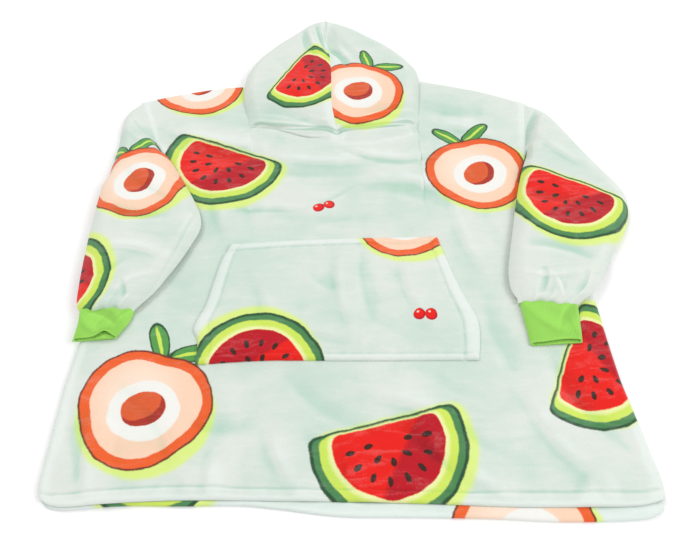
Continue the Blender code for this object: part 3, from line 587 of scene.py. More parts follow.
def wall(name, columns, rows, place, tube=False):
    """A cloth wall: a grid, rolled up where it is a tube, thickened, and each of its points put in its place.

    place gives the x, y and z of the points at these columns and rows. Its outer says which skin they are on.
    """
    bpy.ops.object.select_all(action="DESELECT")
    bpy.ops.mesh.primitive_grid_add(x_subdivisions=columns, y_subdivisions=rows, size=2)
    obj = bpy.context.object
    obj.name = obj.data.name = name
    mesh = obj.data
    if tube:
        start = points_of(mesh)
        turn = (start[:, 0] + 1) * math.pi
        start[:, 2] = start[:, 1]
        start[:, 0], start[:, 1] = np.cos(turn), np.sin(turn)
        mesh.vertices.foreach_set("co", start.astype(np.float32).ravel())
        bpy.ops.object.mode_set(mode="EDIT")
        bpy.ops.mesh.select_all(action="SELECT")
        bpy.ops.mesh.remove_doubles(threshold=0.0001)
        bpy.ops.object.mode_set(mode="OBJECT")
    cloth = obj.modifiers.new("Cloth", "SOLIDIFY")
    cloth.thickness = SKIN_GAP
    cloth.offset = -1.0
    bpy.ops.object.modifier_apply(modifier=cloth.name)
    found = points_of(mesh)
    if tube:
        turn = np.arctan2(found[:, 1], found[:, 0]) / (2 * math.pi)
        column = np.round(turn * columns) % columns
        row = np.round((found[:, 2] + 1) / 2 * rows)
        outer = np.hypot(found[:, 0], found[:, 1]) > 1 - SKIN_GAP / 2
    else:
        column = np.round((found[:, 0] + 1) / 2 * columns)
        row = np.round((found[:, 1] + 1) / 2 * rows)
        outer = found[:, 2] > -SKIN_GAP / 2
    placed = in_frame(*np.broadcast_arrays(*place(column.astype(int), row.astype(int), outer)))
    mesh.vertices.foreach_set("co", placed.astype(np.float32).ravel())
    mesh.update()
    face_out(mesh)
    mesh.shade_smooth()
    mark_hollows(mesh)
    return obj


def mark_hollows(mesh):
    """Keeps on each point how deep it lies in a crease and in a wide fold, below 0 on a ridge, for the finish to paint
    shade into the creases and folds and a highlight onto the ridges.
    """
    points = points_of(mesh)
    ends = np.empty(len(mesh.edges) * 2, np.int32)
    mesh.edges.foreach_get("vertices", ends)
    first, second = ends.reshape(-1, 2).T
    count = np.bincount(ends, minlength=len(points))
    soft = points
    normals = np.empty(len(points) * 3, np.float32)
    mesh.vertices.foreach_get("normal", normals)
    for rounds in range(1, SAG_REACH + 1):
        soft = np.stack([
            (np.bincount(first, axis[second], len(points)) + np.bincount(second, axis[first], len(points))) / count
            for axis in soft.T
        ], axis=-1)
        if rounds in (HOLLOW_REACH, SAG_REACH):
            name, full = ("hollow", HOLLOW_DEPTH) if rounds == HOLLOW_REACH else ("sag", SAG_DEPTH)
            depth = ((soft - points) * normals.reshape(-1, 3)).sum(axis=1) / full
            kept = mesh.attributes.new(name, "FLOAT", "POINT")
            kept.data.foreach_set("value", np.clip(depth, -1, 1).astype(np.float32))


def stitch_row(name, path):
    """A row of small thread stitches along a path, sunk into the pile."""
    bpy.ops.object.select_all(action="DESELECT")
    bpy.ops.mesh.primitive_uv_sphere_add(segments=6, ring_count=4, radius=1)
    obj = bpy.context.object
    obj.name = obj.data.name = name
    one = obj.data.copy()
    steps = np.linalg.norm(np.diff(path, axis=0), axis=1)
    run = np.concatenate([[0], np.cumsum(steps)])
    count = int(run[-1] / STITCH_PITCH)
    places = np.linspace(0, run[-1], count + 1)
    spots = np.stack([np.interp(places, run, axis) for axis in path.T], axis=-1)
    row = bmesh.new()
    for start, end in zip(spots[:-1], spots[1:]):
        known = len(row.verts)
        row.from_mesh(one)
        row.verts.ensure_lookup_table()
        way = Vector(end - start)
        size = Matrix.Diagonal((STITCH_WIDTH, STITCH_WIDTH, way.length * STITCH_LENGTH, 1))
        lay = Matrix.Translation(Vector((start + end) / 2)) @ way.to_track_quat("Z", "Y").to_matrix().to_4x4() @ size
        bmesh.ops.transform(row, matrix=lay, verts=row.verts[known:])
    row.to_mesh(obj.data)
    row.free()
    bpy.data.meshes.remove(one)
    obj.data.shade_smooth()
    return obj


def face_out(mesh):
    """Turns the faces of a closed mesh outwards where they point inwards."""
    shaped = bmesh.new()
    shaped.from_mesh(mesh)
    inside_out = shaped.calc_volume(signed=True) < 0
    shaped.free()
    if inside_out:
        mesh.flip_normals()


def finished(obj, finish, node=None):
    """Gives a piece its finish, lets it ride on the garment, and hides the solid that it stands for."""
    obj.data.materials.clear()
    obj.data.materials.append(finish.material)
    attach(obj, "root")
    if node:
        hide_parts(node)
    return obj


# Body


def patch(foot, top, left, right, across, up):
    """Plan points of a panel whose four edges are given, at these shares of its width and height."""
    across, up = across[:, None], up[:, None]
    point = foot(across[:, 0]) * (1 - up) + top(across[:, 0]) * up
    zero = np.zeros(len(up))
    for edge, end, away in ((left, zero, across), (right, zero + 1, 1 - across)):
        flat = foot(end) * (1 - up) + top(end) * up
        point = point + (edge(up[:, 0]) - flat) * (1 - away) ** SIDE_PULL
    return point


def body_patch(hem, top, across, up, corner=()):
    """Plan points of the front or back panel. corner is what the hem's right corner has before the side."""
    def foot(share):
        x = hem[0][0] + (hem[-1][0] - hem[0][0]) * share
        return np.stack([x, curve(hem, x)[:, 0]], axis=-1)

    def left(share):
        return straight(((0.0, *hem[0]),) + SIDE_LEFT, share)

    def right(share):
        return straight(((0.0, *hem[-1]),) + corner + SIDE_RIGHT, share)

    return patch(foot, top, left, right, across, up)


def neckline():
    """Plan points of the front's neckline, left to right: down the hood's left side, across and up its right."""
    shares = np.array([0.0, 0.15, 0.32, 0.50, 0.68, 0.84, 0.95, 1.0])
    points = []
    for side, neck in ((-1, NECK_LEFT), (1, NECK_RIGHT)):
        half = straight(neck, shares) - (0, 2 * SEAM)
        half[-1, 0] -= side * NECK_UNDER / 4
        column = 1 if side < 0 else 3
        rise = np.array([HOOD_ROWS[row][column:column + 2] for row in NECK_ROWS]) - (side * NECK_UNDER, 0)
        whole = np.concatenate([half, rise])
        points.append(whole[::-1] if side < 0 else whole[1:])
    return np.concatenate(points)


def front_top(share):
    """Plan points along the front's upper edge: left shoulder, neckline, right shoulder."""
    neck = neckline()
    last = SHOULDER_COLUMNS + 1 + len(neck) + SHOULDER_COLUMNS
    step = share * last
    left = curve(SHOULDER_LEFT, np.clip(step / SHOULDER_COLUMNS, 0, 1))
    right = curve(SHOULDER_RIGHT, np.clip((last - step) / SHOULDER_COLUMNS, 0, 1))
    path = np.concatenate([[SHOULDER_LEFT[-1][1:]], neck, [SHOULDER_RIGHT[-1][1:]]])
    places = SHOULDER_COLUMNS + np.arange(len(path))
    middle = np.stack([np.interp(step, places, column) for column in path.T], axis=-1)
    point = np.where((step < SHOULDER_COLUMNS)[:, None], left, middle)
    return np.where((step > last - SHOULDER_COLUMNS)[:, None], right, point)


def front_height(x, y):
    """Top of the front panel, without its hem."""
    height = FRONT_TOP + fold_height(FRONT_FOLDS, x, y)
    for size, rise in FRONT_RIPPLES:
        height = height + ripple(x, y, size, rise)
    return height - FRONT_REST


def hem_height(from_edge, along, turn):
    """Height that a turned and stitched edge adds: a fuller band, a groove at the stitching and small puckers."""
    band_end = 1 - smooth((from_edge - turn + HEM_BAND_RUN) / HEM_BAND_RUN)
    band = HEM_BAND * smooth(from_edge / HEM_BAND_RUN) * band_end
    groove = -HEM_GROOVE * np.clip(1 - ((from_edge - turn) / HEM_GROOVE_WIDTH) ** 2, 0, 1) ** 2
    run = along * 2 * math.pi
    pucker = np.sin(run / 0.031 + 2.0 * np.sin(along * 13)) + 0.6 * np.sin(run / 0.017)
    near = np.exp(-((from_edge - turn) / 0.011) ** 2)
    return band + groove + HEM_PUCKER * pucker * near


def front_skin(x, y, from_hem):
    """Top of the front panel with its hem, which comes down on the back."""
    drop = AIR * (1 - smooth(from_hem / HEM_DROP_RUN))
    return front_height(x, y) + hem_height(from_hem, x, HEM_TURN) - drop


def back_skin(x, y, from_hem):
    """Inner face of the back panel with its hem."""
    return BACK_TOP + np.minimum(hem_height(from_hem, x + BACK_HEM_SHIFT, HEM_TURN), BACK_HEM_MOST)


def hem_path(hem, top, skin):
    """The stitching of a panel's hem, on this skin of it."""
    across = np.linspace(STITCHED_FROM, 1 - STITCHED_FROM, STITCH_POINTS)
    turn = np.full(STITCH_POINTS, HEM_TURN)
    x, y = body_patch(hem, top, across, turn / BODY_LENGTH).T
    return in_frame(x, y, skin(x, y, turn))


def make_front():
    """The front panel, whose sides and hem come down on the back."""
    columns, rows = 210, 200
    across = np.linspace(0, 1, columns + 1)
    up = crowded(rows, (*NEAR_HEM, 0.032), NEAR_EDGE, BODY_LENGTH)

    def place(column, row, outer):
        x, y = body_patch(FRONT_HEM, front_top, across[column], up[row]).T
        from_hem = up[row] * BODY_LENGTH
        from_side = np.minimum(across[column], 1 - across[column]) * BODY_WIDTH
        from_seam = np.minimum(from_side, (1 - up[row]) * BODY_LENGTH)
        top = front_skin(x, y, from_hem)
        low = top - PLUSH + roll(np.minimum(from_hem, from_seam), FRONT_LOW_ROUND)
        low -= SIDE_DOWN * (1 - smooth(from_seam / SIDE_DOWN_RUN)) * smooth(from_hem / 0.03)
        seam_round = SIDE_ROUND - SHOULDER_SHARPER * smooth((up[row] - ARMHOLE_SHARE) / ARMHOLE_RUN)
        top = top - np.maximum(roll(from_hem, HEM_ROUND), roll(from_seam, seam_round))
        return x, y, np.where(outer, top, low)

    return wall("front_cloth", columns, rows, place)


def back_top(share):
    """Plan points along the back's upper edge: left shoulder, behind the neck, right shoulder."""
    left, right = np.array(SHOULDER_LEFT[-1][1:]), np.array(SHOULDER_RIGHT[-1][1:])
    behind = np.clip((share[:, None] - BACK_SHOULDER) / (1 - 2 * BACK_SHOULDER), 0, 1)
    point = left + (right - left) * behind
    for table, away in ((SHOULDER_LEFT, share), (SHOULDER_RIGHT, 1 - share)):
        shoulder = curve(table, np.clip(away / BACK_SHOULDER, 0, 1))
        point = np.where((away < BACK_SHOULDER)[:, None], shoulder, point)
    return point


def make_back():
    """The back panel, flat on what it lies on."""
    columns, rows = 180, 120
    across = np.linspace(0, 1, columns + 1)
    up = crowded(rows, NEAR_HEM, NEAR_BACK_TOP, BODY_LENGTH)

    def place(column, row, outer):
        x, y = body_patch(BACK_HEM, back_top, across[column], up[row], BACK_CORNER).T
        from_hem = up[row] * BODY_LENGTH
        from_edge = np.minimum(from_hem, np.minimum(across[column], 1 - across[column]) * BODY_WIDTH)
        top = back_skin(x, y, from_hem) - roll(from_edge, BACK_ROUND)
        return x, y, np.where(outer, top, np.minimum(roll(from_edge, BACK_LOW_ROUND), BACK_LOW_ROUND))

    return wall("back_cloth", columns, rows, place)


def pocket_plan(across, up):
    """Plan points of the pocket at these shares of its width and height."""
    edges = [
        lambda share, table=table: curve(table, share)
        for table in (POCKET_FOOT, POCKET_TOP, POCKET_LEFT, POCKET_RIGHT)
    ]
    return patch(*edges, across, up)


def pocket_path():
    """The stitching of the pocket's turned edges, all the way round."""
    side = POCKET_TURN_SIDE / POCKET_WIDTH
    foot, head = POCKET_TURN_FOOT / POCKET_HEIGHT, 1 - POCKET_TURN_TOP / POCKET_HEIGHT
    corners = np.array([(side, foot), (1 - side, foot), (1 - side, head), (side, head), (side, foot)])
    at = np.linspace(0, 4, 601)
    across, up = (np.interp(at, range(5), column) for column in corners.T)
    x, y = pocket_plan(across, up).T
    return in_frame(x, y, pocket_height(x, y, across, up) - STITCH_SUNK)


def pocket_height(x, y, across, up):
    """Top of the pocket: fuller in its middle, drawn down at its stitching, free at its two slanted sides."""
    from_side = np.minimum(across, 1 - across) * POCKET_WIDTH
    from_foot, from_top = up * POCKET_HEIGHT, (1 - up) * POCKET_HEIGHT
    sewn = np.minimum(from_foot, from_top)
    full = smooth(sewn / POCKET_FULL_RUN) * smooth((from_side + 0.01) / 0.05)
    z = front_height(x, y) + SEAM + AIR + POCKET_PLUSH + POCKET_FULL * full + fold_height(POCKET_FOLDS, x, y)
    z += ripple(x + 0.3, y, 0.16, 0.0012) * full
    z -= POCKET_DRAWN * (1 - smooth(np.minimum(sewn, from_side) / 0.011))
    z += hem_height(from_side, y * 1.1, POCKET_TURN_SIDE)
    z += hem_height(from_foot, x * 1.2, POCKET_TURN_FOOT) + hem_height(from_top, x * 1.1 + 0.2, POCKET_TURN_TOP)
    return z


def make_pocket():
    """The pocket, with its crowded rows and columns at its turned edges."""
    columns, rows = 150, 100
    across = crowded(columns, NEAR_POCKET_SIDE, NEAR_POCKET_SIDE, POCKET_WIDTH)
    up = crowded(rows, NEAR_POCKET_FOOT, NEAR_POCKET_TOP, POCKET_HEIGHT)

    def place(column, row, outer):
        x, y = pocket_plan(across[column], up[row]).T
        from_edge = np.minimum(
            np.minimum(across[column], 1 - across[column]) * POCKET_WIDTH,
            np.minimum(up[row], 1 - up[row]) * POCKET_HEIGHT,
        )
        z = pocket_height(x, y, across[column], up[row])
        low = np.maximum(z - POCKET_PLUSH, front_height(x, y) + SEAM) + roll(from_edge, POCKET_LOW_ROUND)
        z = z - roll(from_edge, POCKET_ROUND)
        return x, y, np.where(outer, z, np.minimum(low, z - THINNEST))

    return wall("pocket_cloth", columns, rows, place)


# Sleeves, cuffs and hood


def sleeve_rest(side, x, y):
    """Height of what lies under a sleeve here: the front panel, or the floor beyond the panel's edge."""
    table = SIDE_LEFT if side < 0 else SIDE_RIGHT
    underarm, notch = np.array(table[UNDERARM][1:]), np.array(table[UNDERARM + 1][1:])
    line = (notch - underarm) / np.linalg.norm(notch - underarm)
    beyond_armhole = ((x - underarm[0]) * -line[1] + (y - underarm[1]) * line[0]) * -side
    side_x = max(abs(row[1]) for row in table[STRAIGHT_SIDE:UNDERARM + 1])
    off = np.maximum(beyond_armhole - ARMHOLE_CLEAR, side * x - side_x - STEP_CLEAR)
    return ON_FRONT * (1.0 - smooth(off / STEP_RUN))


def slot_between(low, top, cloth):
    """Heights of the slot in a folded wall, the upper layer one cloth thick, both less where there is less room."""
    scale = np.minimum(1.0, (top - low) / (2 * cloth + SLOT))
    under_upper = top - cloth * scale
    return under_upper - SLOT * scale, under_upper


def gathers(share, from_end, reach, rise):
    """Small folds across a sleeve that fade out away from the seam where it is gathered."""
    wave = sum(np.sin(2 * math.pi * waves * share + waves) / (1 + number) for number, waves in enumerate(GATHER_WAVES))
    return rise * wave * np.exp(-(from_end / reach) ** 2)


def make_tube(
    name, side, table, cloth, edge_round, around, rows, detail, tucked, start_roll, end_roll, mouth=None, joined=None,
    hang=None,
):
    """A flattened tube through the table's sections. detail adds to the height of its skins.

    Its start is tucked into the piece before it, and its two ends are rolled. mouth says where its end stands open,
    joined how high the cloth is that its start is sewn to, and hang how far its end falls over the piece after it.
    """
    sections = counted(table)
    last = len(table) - 1
    stops = last * (0.5 - 0.5 * np.cos(np.linspace(0, math.pi, rows + 1)))
    outer_x, outer_y, inner_x, inner_y, heights = curve(sections, stops).T
    middle_line = np.stack([(outer_x + inner_x) / 2, (outer_y + inner_y) / 2], axis=-1)
    lengths = np.linalg.norm(np.diff(middle_line, axis=0), axis=-1)
    along = np.concatenate([[0], np.cumsum(lengths)])
    ahead = np.gradient(middle_line, axis=0)
    ahead /= np.linalg.norm(ahead, axis=-1)[:, None]

    def place(column, row, outer):
        turn = column / around * 2
        upper = turn <= 1
        share = np.where(upper, turn, 2 - turn)
        share = share - EDGE_CROWDING * np.sin(2 * math.pi * share)
        start = np.stack([inner_x[row], inner_y[row]], axis=-1)
        end = np.stack([outer_x[row], outer_y[row]], axis=-1)
        width = np.linalg.norm(end - start, axis=-1)
        inset = np.where(outer, 0.0, WALL_INSET * cloth / width)
        share = inset + (1 - 2 * inset) * share
        from_start, from_end = along[row], along[-1] - along[row]
        near_start, near_end = np.exp(-(from_start / TUCK_RUN) ** 2), np.exp(-(from_end / END_RUN) ** 2)
        sewn = 1 - smooth(from_start / SEWN_RUN) if joined else np.zeros(len(column))
        shift = -tucked * near_start
        if hang:
            shift = shift + np.where(outer & upper, hang(share), 0.0) * near_end
        rise = np.zeros(len(column))
        if mouth:
            recede, lift = mouth(share)
            shift = shift + np.where(upper, -recede, MOUTH_UNDER) * near_end
            rise = lift * near_end
        x, y = (start + (end - start) * share[:, None] + ahead[row] * shift[:, None]).T
        rest = np.maximum(sleeve_rest(side, x, y) - TUCKED_DROP * near_start * (cloth == PLUSH), 0.0)
        full = soft_round(np.minimum(share, 1 - share) * width, edge_round * (1 - SEWN_SHARP * sewn))
        height = heights[row]
        if joined:
            height = height + (joined(x, y) - SEWN_SINK - height) * sewn
        middle = rest + np.minimum(EDGE_LIFT * cloth, EDGE_LIFT_MOST * (height - rest))
        crown = 1.0 - CROWN * (1.0 - np.sin(math.pi * share)) * (1 - sewn)
        top = middle + (height - middle) * full * crown
        top = top + (detail(x, y, share, from_start, from_end) * smooth(from_start / TUCK_RUN) + rise) * full
        low = middle + (rest - middle) * full
        slot_low, slot_high = slot_between(low, top, cloth)
        slot_high = slot_high + rise * MOUTH_HOLLOW
        top = top - (roll(from_start, start_roll) + roll(from_end, end_roll)) * full
        fold = (column == 0) | (turn == 1)
        slot = np.where(fold, (slot_low + slot_high) / 2, np.where(upper, slot_high, slot_low))
        return x, y, np.where(outer, np.where(upper, top, low), slot)

    return wall(name, around, rows, place, tube=True)


def sleeve_detail(side):
    """Folds, gathers at the cuff and, on the left, the underarm seam of a sleeve."""
    def detail(x, y, share, from_armhole, from_cuff):
        height = fold_height(SLEEVE_FOLDS, x, y) + ripple(x, y, 0.15, 0.0011)
        height += gathers(share, from_cuff, GATHER_REACH, GATHER_RISE)
        height += PUFF * np.exp(-((from_cuff - PUFF_AT) / PUFF_AT) ** 2)
        if side < 0:
            height += seam_groove(LEFT_UNDERARM_SEAM, x, y, UNDERARM_DEPTH, UNDERARM_WIDTH)
        return height
    return detail


def sleeve_hang(share):
    """How far the puffed end of a sleeve falls over its cuff."""
    return 0.0034 + 0.0022 * np.sin(10.0 * share + 0.6) + 0.0012 * np.sin(27.0 * share + 2.0)


def seam_groove(seam, x, y, depth, width):
    """A seam's groove. The seam's columns are y, x."""
    ends = smooth((y - seam[0][0] + 0.01) / 0.02) * smooth((seam[-1][0] + 0.01 - y) / 0.02)
    away = np.abs(x - straight(seam, y)[..., 0]) / width
    return -depth * np.clip(1 - away ** 2, 0, 1) ** 2 * ends


def cuff_detail(ribs):
    """Fine ribs along a cuff, its start under the sleeve's end, and its folds."""
    def detail(x, y, share, from_sleeve, from_mouth):
        height = RIB_RISE * np.cos(2 * math.pi * ribs * share)
        height = height - CUFF_BELOW * np.exp(-(from_sleeve / 0.005) ** 2)
        return height + fold_height(CUFF_FOLDS, x, y)
    return detail


def mouth_of(name):
    """How far the upper rim of this cuff's mouth is drawn back, and how much it is lifted."""
    where, wide, least, back, lift = MOUTHS[name]

    def mouth(share):
        open_part = np.exp(-((share - where) / wide) ** 2)
        return least + back * open_part, lift * open_part
    return mouth


def make_hood(name, side):
    """Half of the hood, a folded wall that is open at the centre seam."""
    neck, rim = (NECK_LEFT, RIM_LEFT) if side < 0 else (NECK_RIGHT, RIM_RIGHT)
    column_x = 1 if side < 0 else 3
    sections = [(row, line[0], line[column_x], line[column_x + 1], line[5]) for row, line in enumerate(HOOD_ROWS)]
    last = len(HOOD_ROWS) - 1
    half, rows = 84, 170
    columns = 2 * half
    stops = last * crowded(rows, NEAR_RIM, NEAR_CROWN, HOOD_LENGTH)
    start = np.array(HOOD_ROWS[0])
    first = np.array([curve(CENTRE_SEAM, start[0])[0], start[0]])

    def place(column, row, outer):
        upper = column > half
        fold = column == half
        step = np.where(upper, columns - column, column)
        # The columns crowd towards the outer edge, and one lies beside the centre seam
        share = np.sin(np.maximum(step - 1, 0) / (half - 1) * math.pi / 2) ** 0.9
        share = np.where(step == 1, 0.004, share)
        stop = stops[row]
        centre_y, edge_x, edge_y, height = curve(sections, stop).T
        centre = np.stack([curve(CENTRE_SEAM, centre_y)[:, 0], centre_y], axis=-1)
        edge = np.stack([edge_x, edge_y], axis=-1)
        width = np.linalg.norm(edge - centre, axis=-1)
        inset = np.where(outer, 0.0, WALL_INSET * PLUSH / width * smooth(2 * share - 1))
        inset = inset * (RIM_INSET + (1 - RIM_INSET) * smooth(stop / RIM_INSET_ROWS))
        share = share - inset

        # The rim's two layers follow their own lines
        plan = centre + (edge - centre) * share[:, None]
        first_plan = first + (start[column_x:column_x + 2] - first) * share[:, None]
        shift_low = curve(neck, share) - first_plan - (0, NECK_TUCK)
        shift_high = curve(rim, share) - first_plan
        shift = np.where(upper[:, None], shift_high, shift_low)
        shift = np.where(fold[:, None], (shift_high + shift_low) / 2, shift)
        x, y = (plan + shift * np.clip(1 - stop, 0, 1)[:, None]).T

        # Heights away from the rim
        away = (1 - share) * width
        rest = ON_BACK * (1.0 - smooth((y - SHOULDER_RIGHT[-1][2] - STEP_CLEAR) / STEP_RUN))
        lift = HOOD_EDGE_LIFT + CROWN_LIFT * smooth((stop - CROWN_ROWS[0]) / CROWN_ROWS[1])
        middle = rest + lift * (height - rest)
        crown = 1.0 - CROWN * (1.0 - np.cos(share * math.pi / 2))
        top = middle + (height - middle) * soft_round(away, HOOD_ROUND) * crown
        low = middle + (rest - middle) * fold_round(away, HOOD_ROUND / 2)

        # Folds, the centre seam, and the crease and soft roll of the rim
        detail = fold_height(HOOD_FOLDS, x, y) + ripple(x, y, 0.17, 0.0010)
        from_seam = np.abs(x - curve(CENTRE_SEAM, y)[:, 0])
        at_rim = np.exp(-(np.maximum(stop, 0) / 1.6) ** 2)
        detail -= SEAM_DEPTH * (1 + at_rim) * np.exp(-(from_seam / (SEAM_WIDTH * (1 + at_rim))) ** 2)
        crease_y = curve(RIM_CREASE, x)[:, 0]
        detail -= CREASE_DEPTH * np.exp(-((y - crease_y) / CREASE_WIDTH) ** 2) * upper
        detail += ROLL_RISE * np.exp(-((y - crease_y - ROLL_AT) / ROLL_WIDTH) ** 2) * upper
        top = top + detail * fold_round(away, 2 * HOOD_ROUND)

        # The slot, and the rim's edge, whose lower layer is sewn to the front
        at_side = fold_round(away, HOOD_ROUND)
        slot_low, slot_high = slot_between(low, top, PLUSH)
        from_rim = np.clip(stop, 0, 1) * FIRST_ROW + np.maximum(stop - 1, 0) * LATER_ROW
        under_rim = np.minimum(slot_low, FRONT_TOP + stop * FIRST_ROW) - roll(from_rim, RIM_LOW_ROUND)
        slot_low = np.where(stop < 1, slot_low + (under_rim - slot_low) * at_side, slot_low)
        rim_drop = RIM_DROP * (1 - smooth((from_rim + 0.004) / RIM_DROP_RUN))
        top = top - (rim_drop + roll(from_rim, RIM_ROUND)) * at_side
        sunk = np.maximum(front_height(x, y) + RIM_CLEAR - top, 0)
        top = top + sunk * (1 - smooth((stop - 0.8) / 1.2))
        slot_high = np.minimum(slot_high, slot_low + 0.0006 + np.maximum(from_rim - 0.002, 0) * 0.5)
        slot = np.where(fold, (slot_low + slot_high) / 2, np.where(upper, slot_high, slot_low))
        skin = np.where(fold, (top + low) / 2, np.where(upper, top, low))
        on_seam = (column == 0) | (column == columns) | (row == rows)
        return np.where(on_seam, x - side * SEAM, x), y, np.where(outer, skin, slot)

    return wall(name, columns, rows, place)


# Finishes


def sign(operation, turned=False):
    """One of the signs for arithmetic, turned where the number on its left isn't a signal."""
    def apply(self, other):
        values = (other, self) if turned else (self, other)
        return self.finish.maths(operation, *values)
    return apply


class Signal:
    """A number on its way through a finish's nodes, with the usual signs for arithmetic."""

    def __init__(self, finish, socket):
        self.finish = finish
        self.socket = socket

    __add__, __radd__ = sign("ADD"), sign("ADD", True)
    __sub__, __rsub__ = sign("SUBTRACT"), sign("SUBTRACT", True)
    __mul__, __rmul__ = sign("MULTIPLY"), sign("MULTIPLY", True)
    __truediv__, __rtruediv__ = sign("DIVIDE"), sign("DIVIDE", True)


class Finish:
    """A cloth's material, built node by node."""

    def __init__(self, name, roughness):
        self.material = bpy.data.materials.new(name)
        self.material.use_nodes = True
        self.tree = self.material.node_tree
        self.shader = self.tree.nodes["Principled BSDF"]
        self.shader.inputs["Roughness"].default_value = roughness
        self.place = self.node("ShaderNodeTexCoord", {}, {}).outputs["Object"]
        self.plan = self.vector("MULTIPLY", self.place, (1, 1, 0))

    def node(self, kind, settings, values):
        """Adds a node, says what it is, and then gives its sockets their values or links."""
        made = self.tree.nodes.new(kind)
        for name, value in settings.items():
            setattr(made, name, value)
        for name, value in values.items():
            value = value.socket if isinstance(value, Signal) else value
            if isinstance(value, bpy.types.NodeSocket):
                self.tree.links.new(value, made.inputs[name])
            else:
                made.inputs[name].default_value = value
        return made

    def maths(self, operation, *values):
        made = self.node("ShaderNodeMath", {"operation": operation}, dict(enumerate(values)))
        return Signal(self, made.outputs[0])

    def vector(self, operation, *values):
        return self.node("ShaderNodeVectorMath", {"operation": operation}, dict(enumerate(values))).outputs[0]

    def range(self, value, start, end, low=0.0, high=1.0):
        """A soft step from low, where the value is at start, to high, where it is at end."""
        made = self.node(
            "ShaderNodeMapRange", {"interpolation_type": "SMOOTHSTEP"},
            {"Value": value, "From Min": start, "From Max": end, "To Min": low, "To Max": high},
        )
        return Signal(self, made.outputs[0])

    def mix(self, share, under, over):
        """One colour over another by this share."""
        made = self.node("ShaderNodeMix", {"data_type": "RGBA"}, {0: share, 6: solid(under), 7: solid(over)})
        return made.outputs[2]

    def print_on(self, colour, ink, away, soft=0.012):
        """The colour with this ink on it where away is below 0."""
        return self.mix(self.inside(away, soft), colour, INK[ink])

    def halo(self, colour, away):
        """The colour with the wide pale edge of a motif on it."""
        return self.mix(self.inside(away, 0.05) * 0.85, colour, INK["halo"])

    def scaled(self, colour, amount):
        """The colour, lighter or darker by this number."""
        return self.node("ShaderNodeVectorMath", {"operation": "SCALE"}, {0: colour, 3: amount}).outputs[0]

    def noise(self, vector, scale, detail=2.0, roughness=0.5, distortion=0.0):
        return self.node(
            "ShaderNodeTexNoise", {},
            {"Vector": vector, "Scale": scale, "Detail": detail, "Roughness": roughness, "Distortion": distortion},
        )

    def noise_value(self, *values):
        return Signal(self, self.noise(*values).outputs["Fac"])

    def stretched(self, vector, turn, scale):
        """Coordinates turned in the plan and then scaled."""
        values = {"Vector": vector, "Rotation": (0, 0, turn), "Scale": scale}
        return self.node("ShaderNodeMapping", {}, values).outputs[0]

    def centred(self, vector, x, y, turn, scale):
        """Coordinates with their middle here, turned, and in units of this scale."""
        values = {"Vector": vector, "Location": (x, y, 0), "Rotation": (0, 0, turn), "Scale": scale}
        return self.node("ShaderNodeMapping", {"vector_type": "TEXTURE"}, values).outputs[0]

    def local(self, vector, x, y, turn, size):
        """Coordinates centred at a place in the plan, turned, and in units of this size."""
        return self.centred(vector, x + HEM_MIDDLE[0], y + HEM_MIDDLE[1], turn, (size, size, size))

    def parts(self, vector):
        """The x and the y of a vector."""
        made = self.node("ShaderNodeSeparateXYZ", {}, {0: vector})
        return Signal(self, made.outputs[0]), Signal(self, made.outputs[1])

    def disc(self, vector, x, y, radius):
        """How far outside a disc a point is, below 0 inside it."""
        made = self.node("ShaderNodeVectorMath", {"operation": "DISTANCE"}, {0: vector, 1: (x, y, 0)})
        return Signal(self, made.outputs["Value"]) - radius

    def oval(self, vector, x, y, turn, across, up):
        """The same for an oval, in shares of its half width."""
        moved = self.centred(vector, x, y, turn, (across, up, 1))
        made = self.node("ShaderNodeVectorMath", {"operation": "LENGTH"}, {0: moved})
        return Signal(self, made.outputs["Value"]) - 1.0

    def inside(self, away, soft=0.012):
        """1 where away is below 0, with a soft edge."""
        return self.range(away, -soft, soft, 1.0, 0.0)

    def depth(self, name):
        """How deep in a crease or a wide fold a point lies, from the piece's own mesh."""
        return Signal(self, self.node("ShaderNodeAttribute", {"attribute_name": name}, {}).outputs["Fac"])

    def close(self, colour, height, distance, sheen, sheen_tint, specular):
        """Gives the shader its colour, the bumps of its pile or loops, and its sheen."""
        bump = self.node("ShaderNodeBump", {}, {"Strength": 0.5, "Distance": distance, "Height": height})
        self.tree.links.new(colour, self.shader.inputs["Base Color"])
        self.tree.links.new(bump.outputs[0], self.shader.inputs["Normal"])
        self.shader.inputs["Sheen Weight"].default_value = sheen
        self.shader.inputs["Sheen Roughness"].default_value = 0.5
        self.shader.inputs["Sheen Tint"].default_value = sheen_tint
        self.shader.inputs["Specular IOR Level"].default_value = specular


def solid(colour):
    """A colour as a Mix node takes it."""
    if isinstance(colour, (bpy.types.NodeSocket, Signal)):
        return colour
    return (*colour[:3], 1.0)


